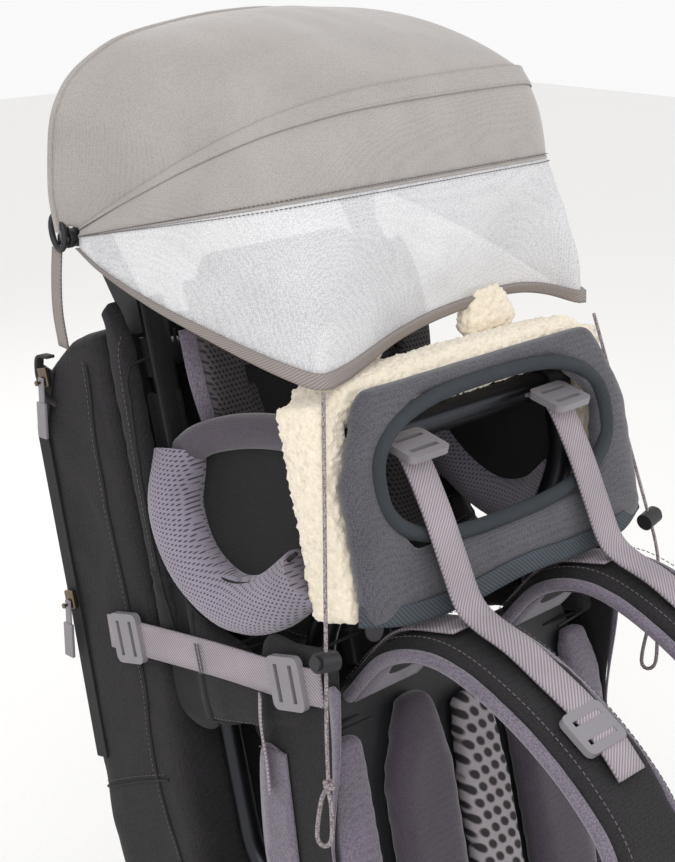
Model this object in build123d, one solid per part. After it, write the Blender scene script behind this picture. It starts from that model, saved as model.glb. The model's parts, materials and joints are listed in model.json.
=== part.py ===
from build123d import *
import math
import os

# Framed child carrier backpack with a sun canopy, standing on its open kickstand.
#
# Every piece is drawn in the pack frame and then leaned back as one. In the pack frame X runs to
# the right seen from the wearer's side, V runs from the wearer towards the rear (0 is the face of
# the back plate) and W runs up along the back plate. build123d's Y and Z hold V and W here.

# ---- Driving dimensions, in millimetres and degrees ----
LEAN = 14.3                    # backward lean on the open kickstand
GAP = 0.4                      # clearance between neighbours on different bodies
RUN_FIT = 0.05                 # radial clearance of a turning or sliding fit

FRAME_R = 10.0                 # aluminium frame tube
TUBE_WALL = 1.5
FRAME_X = 112.0                # frame tubes each side of the middle
FRAME_V = 17.0
FOOT_R = 13.0                  # rubber sleeve under the frame
FRONT_FOOT_X = 75.0
MID_BAR_W = 330.0
FRAME_BEND_W = 515.0           # here the uprights lean forward to hold the face pad
TOP_BAR = (-38.0, 655.0)
SEAT_R = 8.0                   # lighter tube behind the child
SEAT_V = 126.0
SEAT_TOP_W = 762.0

PLATE = 4.0                    # back plate
PLATE_TOP = 495.0
PAD_BOTTOM = 90.0
PAD_TOP = 474.0
PAD_DEPTH = 20.0

BAG_HALF = 150.0               # half width of bag and cockpit
CORE_HALF = 100.0              # half width of what fits between the frame tubes
COCKPIT_IN = 131.0
LEG_TOP_W = 466.0              # top of the leg openings
BACKREST_V = 98.0
BACKREST_TOP = 800.0

STAND_PIVOT = (SEAT_V, 305.0)
STAND_X = 140.0
STAND_R = 9.0
STAND_REACH = 141.0            # how far the foot bar stands behind its pivot, along the ground
STAND_FOOT_R = 14.0
STAND_FOOT_X = 70.0
PIN_R = 6.0
PIN_FLANGE_R = 9.0             # the washer head on each pivot pin
BUTTON_R = 5.0

CANOPY_PIVOT = (151.0, 817.0)
CANOPY_PIN_R = 3.0
ROD_R = 2.5
CLOTH = 1.2                    # thickness of canopy cloth
ROD_INSET = 5.0                # rods run this far inside the cloth's outer face
HOOP_START = 9.0

STRAP_X = 80.0                 # shoulder strap
LIFTER_X = 75.0                # load lifter webbing, just inside the strap's middle
STRAP_WIDTH = 70.0
STRAP_DEPTH = 16.0
WEBBING = 25.0
HIP_WEBBING = 38.0
TAPE = 2.0                     # thickness of webbing
HIP_W = 142.0
CHEST_W = 365.0

CORD_R = 1.25
CORD_TIP = (138.0, -63.5, 697.0)
CORD_LOCK = (172.0, -59.0, 535.0)

S = math.sin(math.radians(LEAN))
C = math.cos(math.radians(LEAN))


# ---- Small helpers ----
def both(shape):
    """The shape and its mirror image across the middle of the pack."""
    return Compound([*shape.solids(), *mirror(shape, about=Plane.YZ).solids()])


def group(*shapes):
    """Separate solids kept together in one node."""
    return Compound([solid for shape in shapes for solid in shape.solids()])


def block(x, v, w, corner=0.0):
    """Box between (low, high) pairs; corner rounds every edge."""
    box = Box(x[1] - x[0], v[1] - v[0], w[1] - w[0])
    if corner:
        box = fillet(box.edges(), corner)
    return Pos((x[0] + x[1]) / 2, (v[0] + v[1]) / 2, (w[0] + w[1]) / 2) * box


def side_prism(outline, x, corner=0.0, edge=0.0):
    """V-W outline swept sideways over the x pair; corner rounds the outline, edge its two rims."""
    face = make_face(Polyline(*outline, close=True))
    if corner:
        face = fillet(face.vertices(), corner)
    body = extrude(Plane.YZ.offset(x[0]) * face, x[1] - x[0])
    if edge:
        body = fillet(body.faces().sort_by(Axis.X)[0].edges(), edge)
        body = fillet(body.faces().sort_by(Axis.X)[-1].edges(), edge)
    return body


def panel(outline, v, corner=0.0, edge=0.0):
    """X-W outline given thickness from v[0] to v[1]."""
    face = make_face(Polyline(*outline, close=True))
    if corner:
        face = fillet(face.vertices(), corner)
    body = extrude(Plane((0, v[0], 0), x_dir=(1, 0, 0), z_dir=(0, -1, 0)) * face, v[0] - v[1])
    if edge:
        body = fillet(body.faces().sort_by(Axis.Y)[0].edges(), edge)
    return body


def path_of(points, bends):
    """Straight runs joined by tangent arcs."""
    if len(points) == 2:
        return Line(*points)
    return FilletPolyline(*points, radius=bends)


def rod(points, bends, radius, wall=0.0):
    """Round bar or tube along a path."""
    path = path_of(points, bends)
    plane = Plane(origin=path @ 0, z_dir=path % 0)
    body = sweep(plane * Circle(radius), path)
    if wall:
        body -= sweep(plane * Circle(radius - wall), path)
    return body


def band(points, bends, width, depth, across, corner=0.0):
    """Flat strap along a planar path, its width along the across direction."""
    path = path_of(points, bends)
    plane = Plane(origin=path @ 0, x_dir=across, z_dir=path % 0)
    section = RectangleRounded(width, depth, corner) if corner else Rectangle(width, depth)
    return sweep(plane * section, path)


def barrel(centre, radius, length, axis=(1, 0, 0)):
    """Cylinder centred on a point."""
    return Plane(origin=centre, z_dir=axis) * Cylinder(radius, length)


def height_above_ground(v, z):
    """W of a point at depth v whose height over the floor is z."""
    return (z + v * S) / C


# ---- Frame ----
FRAME_FOOT_W = height_above_ground(FRAME_V, FOOT_R)
LUG_WALL = 2.3
LUG_R = FRAME_R + LUG_WALL
UPRIGHT = [(FRAME_X, FRAME_V, FRAME_FOOT_W + FRAME_R), (FRAME_X, FRAME_V, FRAME_BEND_W),
           (FRAME_X, TOP_BAR[0], TOP_BAR[1] - 55), (FRAME_X, TOP_BAR[0], TOP_BAR[1] + 14)]
SEAT_START = (FRAME_V + 16, 343.0)
SEAT_TUBE = [(FRAME_X, *SEAT_START), (FRAME_X, *STAND_PIVOT), (FRAME_X, SEAT_V, SEAT_TOP_W)]
SEAT_BAR_W = 726.0


def upright():
    return rod(UPRIGHT, 80, FRAME_R, TUBE_WALL)


def seat_tube():
    return rod(SEAT_TUBE, 45, SEAT_R, TUBE_WALL)


def cross_bar(v, w, radius, half):
    return rod([(-half, v, w), (half, v, w)], 0, radius, TUBE_WALL)


def frame_cross_bars():
    reach = FRAME_X - FRAME_R - GAP
    return group(
        cross_bar(FRAME_V, FRAME_FOOT_W, FRAME_R, FRAME_X + 16),
        cross_bar(FRAME_V, MID_BAR_W, FRAME_R, reach),
        cross_bar(*TOP_BAR, FRAME_R, reach),
        cross_bar(SEAT_V, SEAT_BAR_W, SEAT_R, FRAME_X - SEAT_R - GAP))


def tee_lug(v, w, sleeve):
    """Moulded lug: a sleeve along the upright and a socket along the cross bar."""
    half = 14.0
    along = barrel((FRAME_X, v, w), sleeve, 2 * half, (0, 0, 1))
    across = barrel((FRAME_X - half / 2, v, w), sleeve, 1.6 * half)
    return along + across


def frame_lugs():
    full = Cylinder(FRAME_R, 4 * BAG_HALF)
    low = barrel((FRAME_X, FRAME_V, FRAME_FOOT_W), LUG_R, 28)
    low += barrel((FRAME_X, FRAME_V, FRAME_FOOT_W + 15), LUG_R, 26, (0, 0, 1))
    low -= Plane(origin=(0, FRAME_V, FRAME_FOOT_W), z_dir=(1, 0, 0)) * full
    low -= barrel((FRAME_X, FRAME_V, FRAME_FOOT_W + 40), FRAME_R, 80, (0, 0, 1))
    upper = []
    for v, w, radius in ((FRAME_V, MID_BAR_W, FRAME_R), (*TOP_BAR, FRAME_R),
                         (SEAT_V, SEAT_BAR_W, SEAT_R)):
        lug = tee_lug(v, w, radius + LUG_WALL)
        lug -= barrel((FRAME_X, v, w), radius, 80, (0, 0, 1))
        lug -= barrel((FRAME_X - 50, v, w), radius, 100)
        upper.append(lug)
    return group(both(low), *[both(lug) for lug in upper])


def rubber_foot(centre, outer, bore, length):
    """Sleeve round a bar, with a sole that lies level on the ground when the pack stands."""
    sole = Pos(*centre) * Rot(LEAN, 0, 0) * Pos(0, 0, -outer / 2) * Box(length, 1.5 * outer, outer)
    return barrel(centre, outer, length) + sole - barrel(centre, bore, 2 * length)


def base_feet():
    return both(rubber_foot((FRONT_FOOT_X, FRAME_V, FRAME_FOOT_W), FOOT_R, FRAME_R, 36))


# ---- Kickstand ----
STAND_RISE = STAND_PIVOT[1] * C - STAND_PIVOT[0] * S - STAND_FOOT_R
FOOT_BAR = (STAND_PIVOT[0] + STAND_REACH * C + STAND_RISE * S,
            STAND_PIVOT[1] + STAND_REACH * S - STAND_RISE * C)
LEG_DIR = (Vector(0, *FOOT_BAR) - Vector(0, *STAND_PIVOT)).normalized()
HUB_X = (FRAME_X + SEAT_R + 1.2, STAND_X - STAND_R - 1.0)
BUTTON_AT = 30.0               # along the leg from the pivot


def on_side(shape, side):
    """The right-hand shape itself, or its mirror image for the left."""
    return shape if side > 0 else mirror(shape, about=Plane.YZ)


def on_leg(x, along):
    return Vector(x, *STAND_PIVOT) + LEG_DIR * along


def stand_hub():
    """Boss that clamps the seat tube's bend and carries the stand's pin."""
    boss = barrel(((HUB_X[0] + HUB_X[1]) / 2, *STAND_PIVOT), 17, HUB_X[1] - HUB_X[0])
    return boss - barrel((STAND_X, *STAND_PIVOT), PIN_R, 60)


def stand_pin():
    shank = barrel(((HUB_X[0] + STAND_X + 9) / 2, *STAND_PIVOT), PIN_R, STAND_X + 9 - HUB_X[0])
    return shank + barrel((STAND_X + 10.5, *STAND_PIVOT), PIN_FLANGE_R, 3)


def kickstand_tube():
    legs = [on_leg(-STAND_X, 12), on_leg(-STAND_X, 0) + LEG_DIR * leg_length(),
            on_leg(STAND_X, 0) + LEG_DIR * leg_length(), on_leg(STAND_X, 12)]
    tube = rod(legs, 40, STAND_R)
    for x in (-STAND_X, STAND_X):
        eye = barrel((x, *STAND_PIVOT), 16, 2 * STAND_R - 2)
        collar = barrel(on_leg(x, BUTTON_AT), BUTTON_R + 5, 2 * STAND_R - 2)
        tube += eye + collar
        tube -= barrel((x, *STAND_PIVOT), PIN_R + RUN_FIT, 40)
        tube -= barrel(on_leg(x, BUTTON_AT), BUTTON_R + RUN_FIT, 40)
    return tube


def leg_length():
    return (Vector(0, *FOOT_BAR) - Vector(0, *STAND_PIVOT)).length


def kickstand_feet():
    return both(rubber_foot((STAND_FOOT_X, *FOOT_BAR), STAND_FOOT_R, STAND_R, 48))


def stand_button():
    """Push button in the stand's head, proud on the outside."""
    stem = barrel(on_leg(STAND_X + 3, BUTTON_AT), BUTTON_R, 19)
    cap = barrel(on_leg(STAND_X + 16, BUTTON_AT), BUTTON_R + 2, 7)
    return stem + cap


# ---- Back and harness ----
def back_plate():
    return panel([(-128, 60), (128, 60), (128, PLATE_TOP), (-128, PLATE_TOP)], (0, PLATE), 30)


def back_pad():
    outline = [(34, PAD_BOTTOM), (98, PAD_BOTTOM), (104, 300), (96, 420), (72, PAD_TOP), (44, PAD_TOP),
               (32, 420)]
    return panel(outline, (-PAD_DEPTH, -GAP), 12, 6)


def lumbar_pad():
    return panel([(-28, PAD_BOTTOM), (28, PAD_BOTTOM), (27, 380), (17, 456), (-17, 456), (-27, 380)],
                 (-15, -GAP), 10, 5)


def wing_pad():
    outline = [(108, 205), (130, 205), (147, 300), (147, 430), (136, 464), (108, 464)]
    return panel(outline, (-13, -GAP), 10, 5)


STRAP_PATH = [(-6, 490), (-48, 519), (-96, 521), (-146, 492), (-190, 446), (-212, 398),
              (-207, 330), (-180, 264)]


def shoulder_strap():
    points = [(STRAP_X, v, w) for v, w in STRAP_PATH]
    return band(points, 38, STRAP_WIDTH, STRAP_DEPTH, (1, 0, 0), 7)


def strap_tail():
    """Webbing from the end of the shoulder strap down to the hip belt."""
    end = STRAP_PATH[-1]
    points = [(STRAP_X, end[0] + 1.5, end[1] - 3), (STRAP_X, -110, 200), (STRAP_X, -22, 168)]
    return band(points, 60, WEBBING, TAPE, (1, 0, 0))


def ladder_lock(width):
    """Three-bar webbing adjuster, flat in its own XY plane, webbing running along its Y."""
    length = 30.0
    plate = extrude(RectangleRounded(width + 12, length, 5), 5)
    for y in (-7.0, 7.0):
        plate -= Pos(0, y, 0) * Box(width + 1, 3.6, 20)
    return plate


def on_run(start, end, share, lift, x):
    """Plane on the outer face of a strap's run, its normal away from the wearer's shoulder."""
    (v0, w0), (v1, w1) = start, end
    along = Vector(0, v1 - v0, w1 - w0).normalized()
    normal = along.cross(Vector(1, 0, 0))
    if normal.Z < 0:
        normal = -normal
    centre = Vector(x, v0 + (v1 - v0) * share, w0 + (w1 - w0) * share) + normal * lift
    return Plane(origin=centre, x_dir=(1, 0, 0), z_dir=normal)


LIFTER_TOP = (-52.0, 648.0)
LIFTER_LOCK = (-66.0, 641.0)
LIFTER_SEAM = (-84.0, 601.0)


def lifter_webbing():
    """Load lifter: from the top bar, out over the window's edge, down on to the strap."""
    outer = STRAP_DEPTH / 2 + TAPE / 2 + GAP
    landing = on_run(STRAP_PATH[2], STRAP_PATH[3], 0.5, outer + 1, 0).origin
    crest = on_run(STRAP_PATH[2], STRAP_PATH[3], 1.0, outer + 1.4, 0).origin
    lock = on_run(STRAP_PATH[3], STRAP_PATH[4], 0.4, outer, 0).origin
    points = [LIFTER_TOP, (LIFTER_LOCK[0] - 8, LIFTER_LOCK[1] + 2), LIFTER_SEAM, (-96, 550),
              (landing.Y, landing.Z), (crest.Y, crest.Z), (lock.Y, lock.Z)]
    return band([(LIFTER_X, v, w) for v, w in points], [8, 40, 40, 20, 20], WEBBING, TAPE, (1, 0, 0))


def ladder_locks():
    """Eight identical webbing adjusters: load lifters, shoulder straps and compression straps."""
    lift = STRAP_DEPTH / 2 + TAPE + 2 * GAP
    strap = on_run(STRAP_PATH[3], STRAP_PATH[4], 0.62, lift, STRAP_X) * ladder_lock(WEBBING)
    lifter = on_run(LIFTER_TOP, LIFTER_LOCK, 1.1, 3.5 * TAPE, LIFTER_X) * ladder_lock(WEBBING)
    out = BAG_HALF + 3.4
    pieces = [strap, lifter]
    for v, w in ((165.0, 530.2), (0.0, 511.0)):
        plane = Plane(origin=(out, v, w), x_dir=(0, 0, 1), z_dir=(1, 0, 0))
        pieces.append(plane * ladder_lock(WEBBING))
    return group(*[both(piece) for piece in pieces])


def compression_strap():
    """Webbing along the side of bag and cockpit."""
    x = BAG_HALF + 2.2
    return band([(x, 189, 533), (x, -28, 508)], 0, WEBBING, TAPE, (0, 0.11, 1))


# ---- Chest and hip buckles ----
def buckle_socket(width, x0, v0, w0):
    """Socket half: a flat box, open towards -X."""
    outer = block((x0, x0 + 34), (v0, v0 + 11), (w0 - width / 2 - 5, w0 + width / 2 + 5), 2.4)
    inner = block((x0 - 2, x0 + 25), (v0 + 2.4, v0 + 8.6), (w0 - width / 2 - 1, w0 + width / 2 + 1))
    return outer - inner


def buckle_plug(width, x0, v0, w0):
    """Plug half: body outside the socket, a tongue and two arms inside it."""
    side = width / 2
    body = block((x0 - 18, x0 - 0.6), (v0, v0 + 11), (w0 - side - 5, w0 + side + 5), 2.4)
    body += block((x0 - 4, x0 + 20), (v0 + 3, v0 + 8), (w0 - 4, w0 + 4))
    for way in (-1, 1):
        arm = (w0 + way * (side - 3), w0 + way * (side + 0.4))
        body += block((x0 - 4, x0 + 22), (v0 + 3, v0 + 8), (min(arm), max(arm)))
    return body


CHEST_V = STRAP_PATH[5][0] - STRAP_DEPTH / 2 - 2.5
HIP_V = -214.0
BUCKLE = 11.0


def chest_webbing():
    v = CHEST_V - TAPE
    return group(block((-72, -11), (v, v + TAPE), (CHEST_W - 10, CHEST_W + 10)),
                 block((11, 72), (v, v + TAPE), (CHEST_W - 10, CHEST_W + 10)))


WING_PATH = [(108, -9), (150, -30), (172, -90), (156, -158), (116, -194)]


def hip_wing():
    points = [(x, v, HIP_W) for x, v in WING_PATH]
    return band(points, [22, 55, 55], 96, 14, (0, 0, 1), 6)


def hip_webbing():
    tip = WING_PATH[-1]
    points = [(tip[0] - 0.6, tip[1] - 0.5, HIP_W), (86, HIP_V + 1, HIP_W), (12, HIP_V + 1, HIP_W)]
    return both(band(points, 30, HIP_WEBBING, TAPE, (0, 0, 1)))


# ---- Bag, seat and cockpit ----
BAG_SIDE = [(139, 336), (168, 318), (246, 322), (253, 375), (240, 537), (240, 676), (214, 728),
            (178, 748), (139, 754)]
ZIP_RUN = [(204, 728), (227, 684), (231, 545), (236, 430)]


def rear_bag():
    return side_prism(BAG_SIDE, (-BAG_HALF, BAG_HALF), 8, 6)


def bag_flank():
    outline = [(118, 520), (138.6, 500), (138.6, 764), (126, 776), (116, 740)]
    return side_prism(outline, (COCKPIT_IN, BAG_HALF), 4, 2)


def lower_bag():
    outline = [(34, 106), (150, 112), (236, 172), (244, 306), (138, 306), (120, 318), (34, 318)]
    return side_prism(outline, (-CORE_HALF, CORE_HALF), 8, 6)


def zip_track():
    """Left edge zip: a coil tape on the side of the bag."""
    points = [(-BAG_HALF - 1.0, v, w) for v, w in ZIP_RUN]
    return band(points, 30, 2.0 - GAP, 12, (1, 0, 0))


def seat_base():
    return block((-72, 72), (36, 95), (376, 412), 12)


def seat_skirt():
    return side_prism([(36, 336), (95, 326), (95, 410), (36, 410)], (73, 79), 8)


def backrest():
    outline = [(-108, 424), (108, 424), (108, 700), (101, 752), (74, BACKREST_TOP),
               (-74, BACKREST_TOP), (-101, 752), (-108, 700)]
    return panel(outline, (BACKREST_V, SEAT_V - SEAT_R - LUG_WALL - GAP), 14, 5)


def headrest():
    outline = [(-76, 704), (76, 704), (84, 750), (66, 790), (-66, 790), (-84, 750)]
    return panel(outline, (BACKREST_V - 12, BACKREST_V - GAP), 12, 4)


def child_strap():
    return panel([(46, 540), (84, 540), (96, 640), (86, 698), (58, 698), (50, 640)],
                 (BACKREST_V - 14, BACKREST_V - GAP), 8, 4)


def child_buckle():
    """Central harness buckle on the seat, with a pocket for its release button."""
    body = block((-21, 21), (BACKREST_V - 20, BACKREST_V - 2), (470, 516), 5)
    return body - barrel((0, BACKREST_V - 18, 493), 9 + RUN_FIT, 12, (0, 1, 0))


def child_button():
    return barrel((0, BACKREST_V - 18.5, 493), 9, 7, (0, 1, 0))


RIM = [(16, 554), (46, 548), (80, 570), (96, 622), (92, 690)]


def cockpit_side():
    outline = [(-18, LEG_TOP_W), (112, LEG_TOP_W), (112, 575), (84, 542), (42, 524), (-18, 532)]
    return side_prism(outline, (COCKPIT_IN, BAG_HALF - 2), 5)


def rim_pad():
    return rod([(COCKPIT_IN - 4, v, w) for v, w in RIM], [22, 40, 60], 18)


def side_sleeve():
    """Flat fabric sleeve down the side, over the leg opening's front."""
    return side_prism([(-44, 535), (25, 537), (67, 384), (60, 340), (-8, 340), (-7, 395)],
                      (BAG_HALF - 1.7, BAG_HALF + 0.3), 4)


# ---- Face pad ----
PAD_FACE_V = (-77.0, -63.0)
PAD_HALF = 145.0
WINDOW = (114.0, 584.0, 679.0)  # half width, bottom and top


def face_pad():
    outline = [(-PAD_HALF, 545), (PAD_HALF, 545), (PAD_HALF, 640), (118, 694), (-118, 694),
               (-PAD_HALF, 640)]
    front = panel(outline, PAD_FACE_V, 14, 4)
    half, low, high = WINDOW
    hole = [(-half + 20, low), (half - 20, low), (half, 640), (70, high), (-70, high), (-half, 640)]
    return front - panel(hole, (PAD_FACE_V[0] - 5, PAD_FACE_V[1] + 5), 16)


def face_fleece():
    """Soft bolster over the top bar and the two side cheeks below it."""
    bolster = block((-128, 128), (-62, -14), (670, 700), 9)
    cheek = block((COCKPIT_IN - 6, PAD_HALF), (-62, -20), (548, 662), 6)
    return group(bolster, both(cheek))


def fleece_ears():
    ear = panel([(44, 700.5), (96, 700.5), (96, 712), (84, 731), (56, 731), (44, 712)], (-27, -15), 4, 3)
    return both(ear)


# ---- Canopy ----
def hoop_plane(angle):
    """Plane through the canopy's hinge line; its Y runs out towards the hoop's crown."""
    a = math.radians(angle)
    return Plane(origin=(0, *CANOPY_PIVOT), x_dir=(1, 0, 0), z_dir=(0, -math.sin(a), math.cos(a)))


# angle, half width at the hinge, half width, reach at the corner, reach at the middle,
# corner radius, middle radius
REAR_HOOP = (112.0, 157.0, 166.0, 143.0, 148.0, 58.0, 300.0)
BRIM = (163.6, 151.0, 143.0, 214.0, 218.0, 84.0, 300.0)
SEAM = (181.0, 151.0, 148.0, 211.0, 207.0, 58.0, 300.0)
HEM = (208.8, 151.0, 142.0, 244.0, 186.0, 8.0, 150.0)


def hoop_points(hoop, inset, start):
    root, half, corner_reach, middle_reach = hoop[1:5]
    return [(root - inset, start), (half - inset, corner_reach - inset), (0, middle_reach - inset),
            (inset - half, corner_reach - inset), (inset - root, start)]


def hoop_curve(hoop, inset=0.0, start=HOOP_START):
    corner = max(hoop[5] - inset, 4)
    return FilletPolyline(*hoop_points(hoop, inset, start), radius=[corner, hoop[6], corner])


def hoop_face(hoop, inset, start, turn=0.0):
    curve = hoop_curve(hoop, inset, start)
    close = Line(curve @ 1, curve @ 0)
    return hoop_plane(hoop[0] + turn) * make_face(curve.edges() + close.edges())


def canopy_panel(first, second, turns=(0.0, 0.0)):
    """One curved cloth panel between two hoops, open towards the child."""
    outer = loft([hoop_face(first, 0, HOOP_START, turns[0]), hoop_face(second, 0, HOOP_START, turns[1])],
                 ruled=True)
    low = HOOP_START - 6
    inner = loft([hoop_face(first, CLOTH, low, turns[0]), hoop_face(second, CLOTH, low, turns[1])],
                 ruled=True)
    return outer - inner


def canopy_rod(hoop, eye_x):
    """Bent rod inside one hoop, with an eye at each end on the hinge pins."""
    plane = hoop_plane(hoop[0])
    points = hoop_points(hoop, ROD_INSET, 6)
    points[0] = (eye_x, 6)
    points[-1] = (-eye_x, 6)
    curve = plane * FilletPolyline(*points, radius=[hoop[5] - ROD_INSET, hoop[6], hoop[5] - ROD_INSET])
    body = sweep(Plane(origin=curve @ 0, z_dir=curve % 0) * Circle(ROD_R), curve)
    for side in (-1, 1):
        body += barrel((side * eye_x, *CANOPY_PIVOT), CANOPY_PIN_R + 4, 5)
        body -= barrel((side * eye_x, *CANOPY_PIVOT), CANOPY_PIN_R + RUN_FIT, 20)
    return body


FRONT_EYE_X = 141.0
REAR_EYE_X = 149.0
BRACKET_X = (FRAME_X + SEAT_R + 1, FRAME_X + SEAT_R + 8)


def canopy_bracket():
    """Moulded arm from the top of the seat tube out to the canopy's hinge."""
    (v0, w0), (v1, w1) = (SEAT_V, SEAT_TOP_W - 8), CANOPY_PIVOT
    arm = side_prism([(v0 - 9, w0 - 10), (v0 + 6, w0 - 10), (v1 + 9, w1 - 4), (v1 + 4, w1 + 9),
                      (v1 - 7, w1 + 7), (v0 - 9, w0 + 14)], BRACKET_X, 3)
    return arm - barrel((BRACKET_X[0], *CANOPY_PIVOT), CANOPY_PIN_R, 40)


def pivot_pins():
    """Two stand pins and two canopy pins."""
    ends = (BRACKET_X[0], REAR_EYE_X + 4)
    shank = barrel(((ends[0] + ends[1]) / 2, *CANOPY_PIVOT), CANOPY_PIN_R, ends[1] - ends[0])
    shank += barrel((ends[1] + 1, *CANOPY_PIVOT), CANOPY_PIN_R + 2, 2)
    return group(both(stand_pin()), both(shank))


# ---- Tension cords and their locks ----
def cord_route(side):
    """Taut from the hem's corner through the lock, then hanging to the knot."""
    pull = (Vector(*CORD_LOCK) - Vector(*CORD_TIP)).normalized()
    below = Vector(*CORD_LOCK) + pull * 26
    points = [Vector(*CORD_TIP), below, below + Vector(1.5, 5, -26), below + Vector(-1, 12.5, -51)]
    return [(side * p.X, p.Y, p.Z) for p in points]


def bend_radii(points):
    """Each arc is as large as its two runs allow."""
    radii = []
    for before, here, after in zip(points, points[1:], points[2:]):
        run_in = Vector(*here) - Vector(*before)
        run_out = Vector(*after) - Vector(*here)
        half_turn = math.radians(run_in.get_angle(run_out)) / 2
        radii.append(0.45 * min(run_in.length, run_out.length) / math.tan(half_turn))
    return radii


def tension_cord(side):
    route = cord_route(side)
    radii = bend_radii(route)
    cord = rod(route, radii, CORD_R)
    length = path_of(route, radii).length
    print("cord", "left" if side < 0 else "right", "radii", [round(r) for r in radii],
          "length", round(length, 1), "volume ratio", round(cord.volume / (math.pi * CORD_R ** 2 * length), 4))
    return cord


LOCK_R = 6.5
LOCK_TALL = 15.0
PLUNGER_R = 4.6


def lock_plane(side):
    """On the cord, X along the barrel (outwards) and Z up along the cord."""
    tip = Vector(side * CORD_TIP[0], *CORD_TIP[1:])
    seat = Vector(side * CORD_LOCK[0], *CORD_LOCK[1:])
    up = (tip - seat).normalized()
    return Plane(origin=seat, x_dir=Vector(0, 1, 0).cross(up) * side, z_dir=up)


def cord_lock_barrel(side):
    body = Rot(0, 90, 0) * Cylinder(LOCK_R, LOCK_TALL)
    body -= Pos(3, 0, 0) * (Rot(0, 90, 0) * Cylinder(PLUNGER_R + RUN_FIT, LOCK_TALL))
    body -= Cylinder(CORD_R + 0.6, 30)
    return lock_plane(side) * body


def cord_plunger(side):
    body = Pos(4.5, 0, 0) * (Rot(0, 90, 0) * Cylinder(PLUNGER_R, LOCK_TALL - 4))
    body -= Pos(-0.5, 0, 0) * Box(9.5, 2 * CORD_R + 1.2, 30)
    return lock_plane(side) * body


# ---- Zip sliders and pulls ----
PULL_LENGTH = 42.0
PULL_PIN_R = 1.0


def zip_slider(v, w):
    """Slider body riding on the track, with the pull's pin on its outside."""
    x = -BAG_HALF - 2.2
    body = block((x - 4, x), (v - 5, v + 5), (w - 7, w + 7), 1.2)
    pin = barrel((x - 6.6, v, w - 3), PULL_PIN_R, 5.4)
    return body + pin + barrel((x - 9.4, v, w - 3), 2.0, 1.0)


def zip_pull(v, w):
    """Cord loop and moulded tab, hanging straight down from the slider's pin."""
    x = (-BAG_HALF - 8.6, -BAG_HALF - 6.7)
    plate = block(x, (v - 3, v + 3), (w - 3 - 16, w - 3 + 3.4), 0.8)
    plate += block((x[0] - 1, x[1]), (v - 5, v + 5), (w - 3 - PULL_LENGTH, w - 3 - 15), 0.9)
    plate -= barrel((x[0], v, w - 3), PULL_PIN_R + RUN_FIT, 10)
    return plate.rotate(Axis((0, v, w - 3), (1, 0, 0)), LEAN)


UPPER_SLIDER = (ZIP_RUN[0][0] + 3.0, ZIP_RUN[0][1] - 5.7)
LOWER_SLIDER = (ZIP_RUN[2][0] - 0.3, ZIP_RUN[2][1] + 10.0)


# ---- The whole pack ----
def build_nodes():
    nodes = {
        "frame_uprights": both(upright()),
        "frame_cross_bars": frame_cross_bars(),
        "frame_lugs": frame_lugs(),
        "base_feet": base_feet(),
        "seat_tubes": both(seat_tube()),
        "stand_hubs": both(stand_hub()),
        "pivot_pins": pivot_pins(),
        "kickstand_tube": kickstand_tube(),
        "kickstand_feet": kickstand_feet(),
        "back_plate": back_plate(),
        "back_pads": both(back_pad()),
        "lumbar_pad": lumbar_pad(),
        "wing_pads": both(wing_pad()),
        "rear_bag": rear_bag(),
        "bag_flanks": both(bag_flank()),
        "lower_bag": lower_bag(),
        "zip_track": zip_track(),
        "seat_base": seat_base(),
        "seat_skirts": both(seat_skirt()),
        "backrest": backrest(),
        "headrest": headrest(),
        "child_straps": both(child_strap()),
        "child_buckle": child_buckle(),
        "child_buckle_button": child_button(),
        "cockpit_sides": both(cockpit_side()),
        "rim_pads": both(rim_pad()),
        "side_sleeves": both(side_sleeve()),
        "face_pad": face_pad(),
        "face_fleece": face_fleece(),
        "fleece_ears": fleece_ears(),
        "strap_webbing": group(both(lifter_webbing()), both(strap_tail())),
        "ladder_locks": ladder_locks(),
        "compression_straps": both(compression_strap()),
        "chest_webbing": chest_webbing(),
        "chest_buckle_socket": buckle_socket(20, 1, CHEST_V - TAPE - BUCKLE - GAP, CHEST_W),
        "chest_buckle_plug": buckle_plug(20, 1, CHEST_V - TAPE - BUCKLE - GAP, CHEST_W),
        "hip_webbing": hip_webbing(),
        "hip_buckle_socket": buckle_socket(HIP_WEBBING, 1, HIP_V - BUCKLE - GAP, HIP_W),
        "hip_buckle_plug": buckle_plug(HIP_WEBBING, 1, HIP_V - BUCKLE - GAP, HIP_W),
        "canopy_brackets": both(canopy_bracket()),
        "canopy_rear_rod": canopy_rod(REAR_HOOP, REAR_EYE_X),
        "canopy_front_rod": canopy_rod(BRIM, FRONT_EYE_X),
        "canopy_roof": canopy_panel(REAR_HOOP, BRIM, (0, -0.6)),
        "canopy_visor": canopy_panel(BRIM, SEAM),
        "canopy_mesh": canopy_panel(SEAM, HEM),
        "cord_lock_barrels": group(cord_lock_barrel(-1), cord_lock_barrel(1)),
        "zip_slider_upper": zip_slider(*UPPER_SLIDER),
        "zip_pull_upper": zip_pull(*UPPER_SLIDER),
        "zip_slider_lower": zip_slider(*LOWER_SLIDER),
        "zip_pull_lower": zip_pull(*LOWER_SLIDER),
    }
    for name, side in (("left", -1), ("right", 1)):
        nodes["shoulder_strap_" + name] = on_side(shoulder_strap(), side)
        nodes["hip_wing_" + name] = on_side(hip_wing(), side)
        nodes["stand_button_" + name] = on_side(stand_button(), side)
        nodes["cord_plunger_" + name] = cord_plunger(side)
        nodes["tension_cord_" + name] = tension_cord(side)
    return nodes


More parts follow.
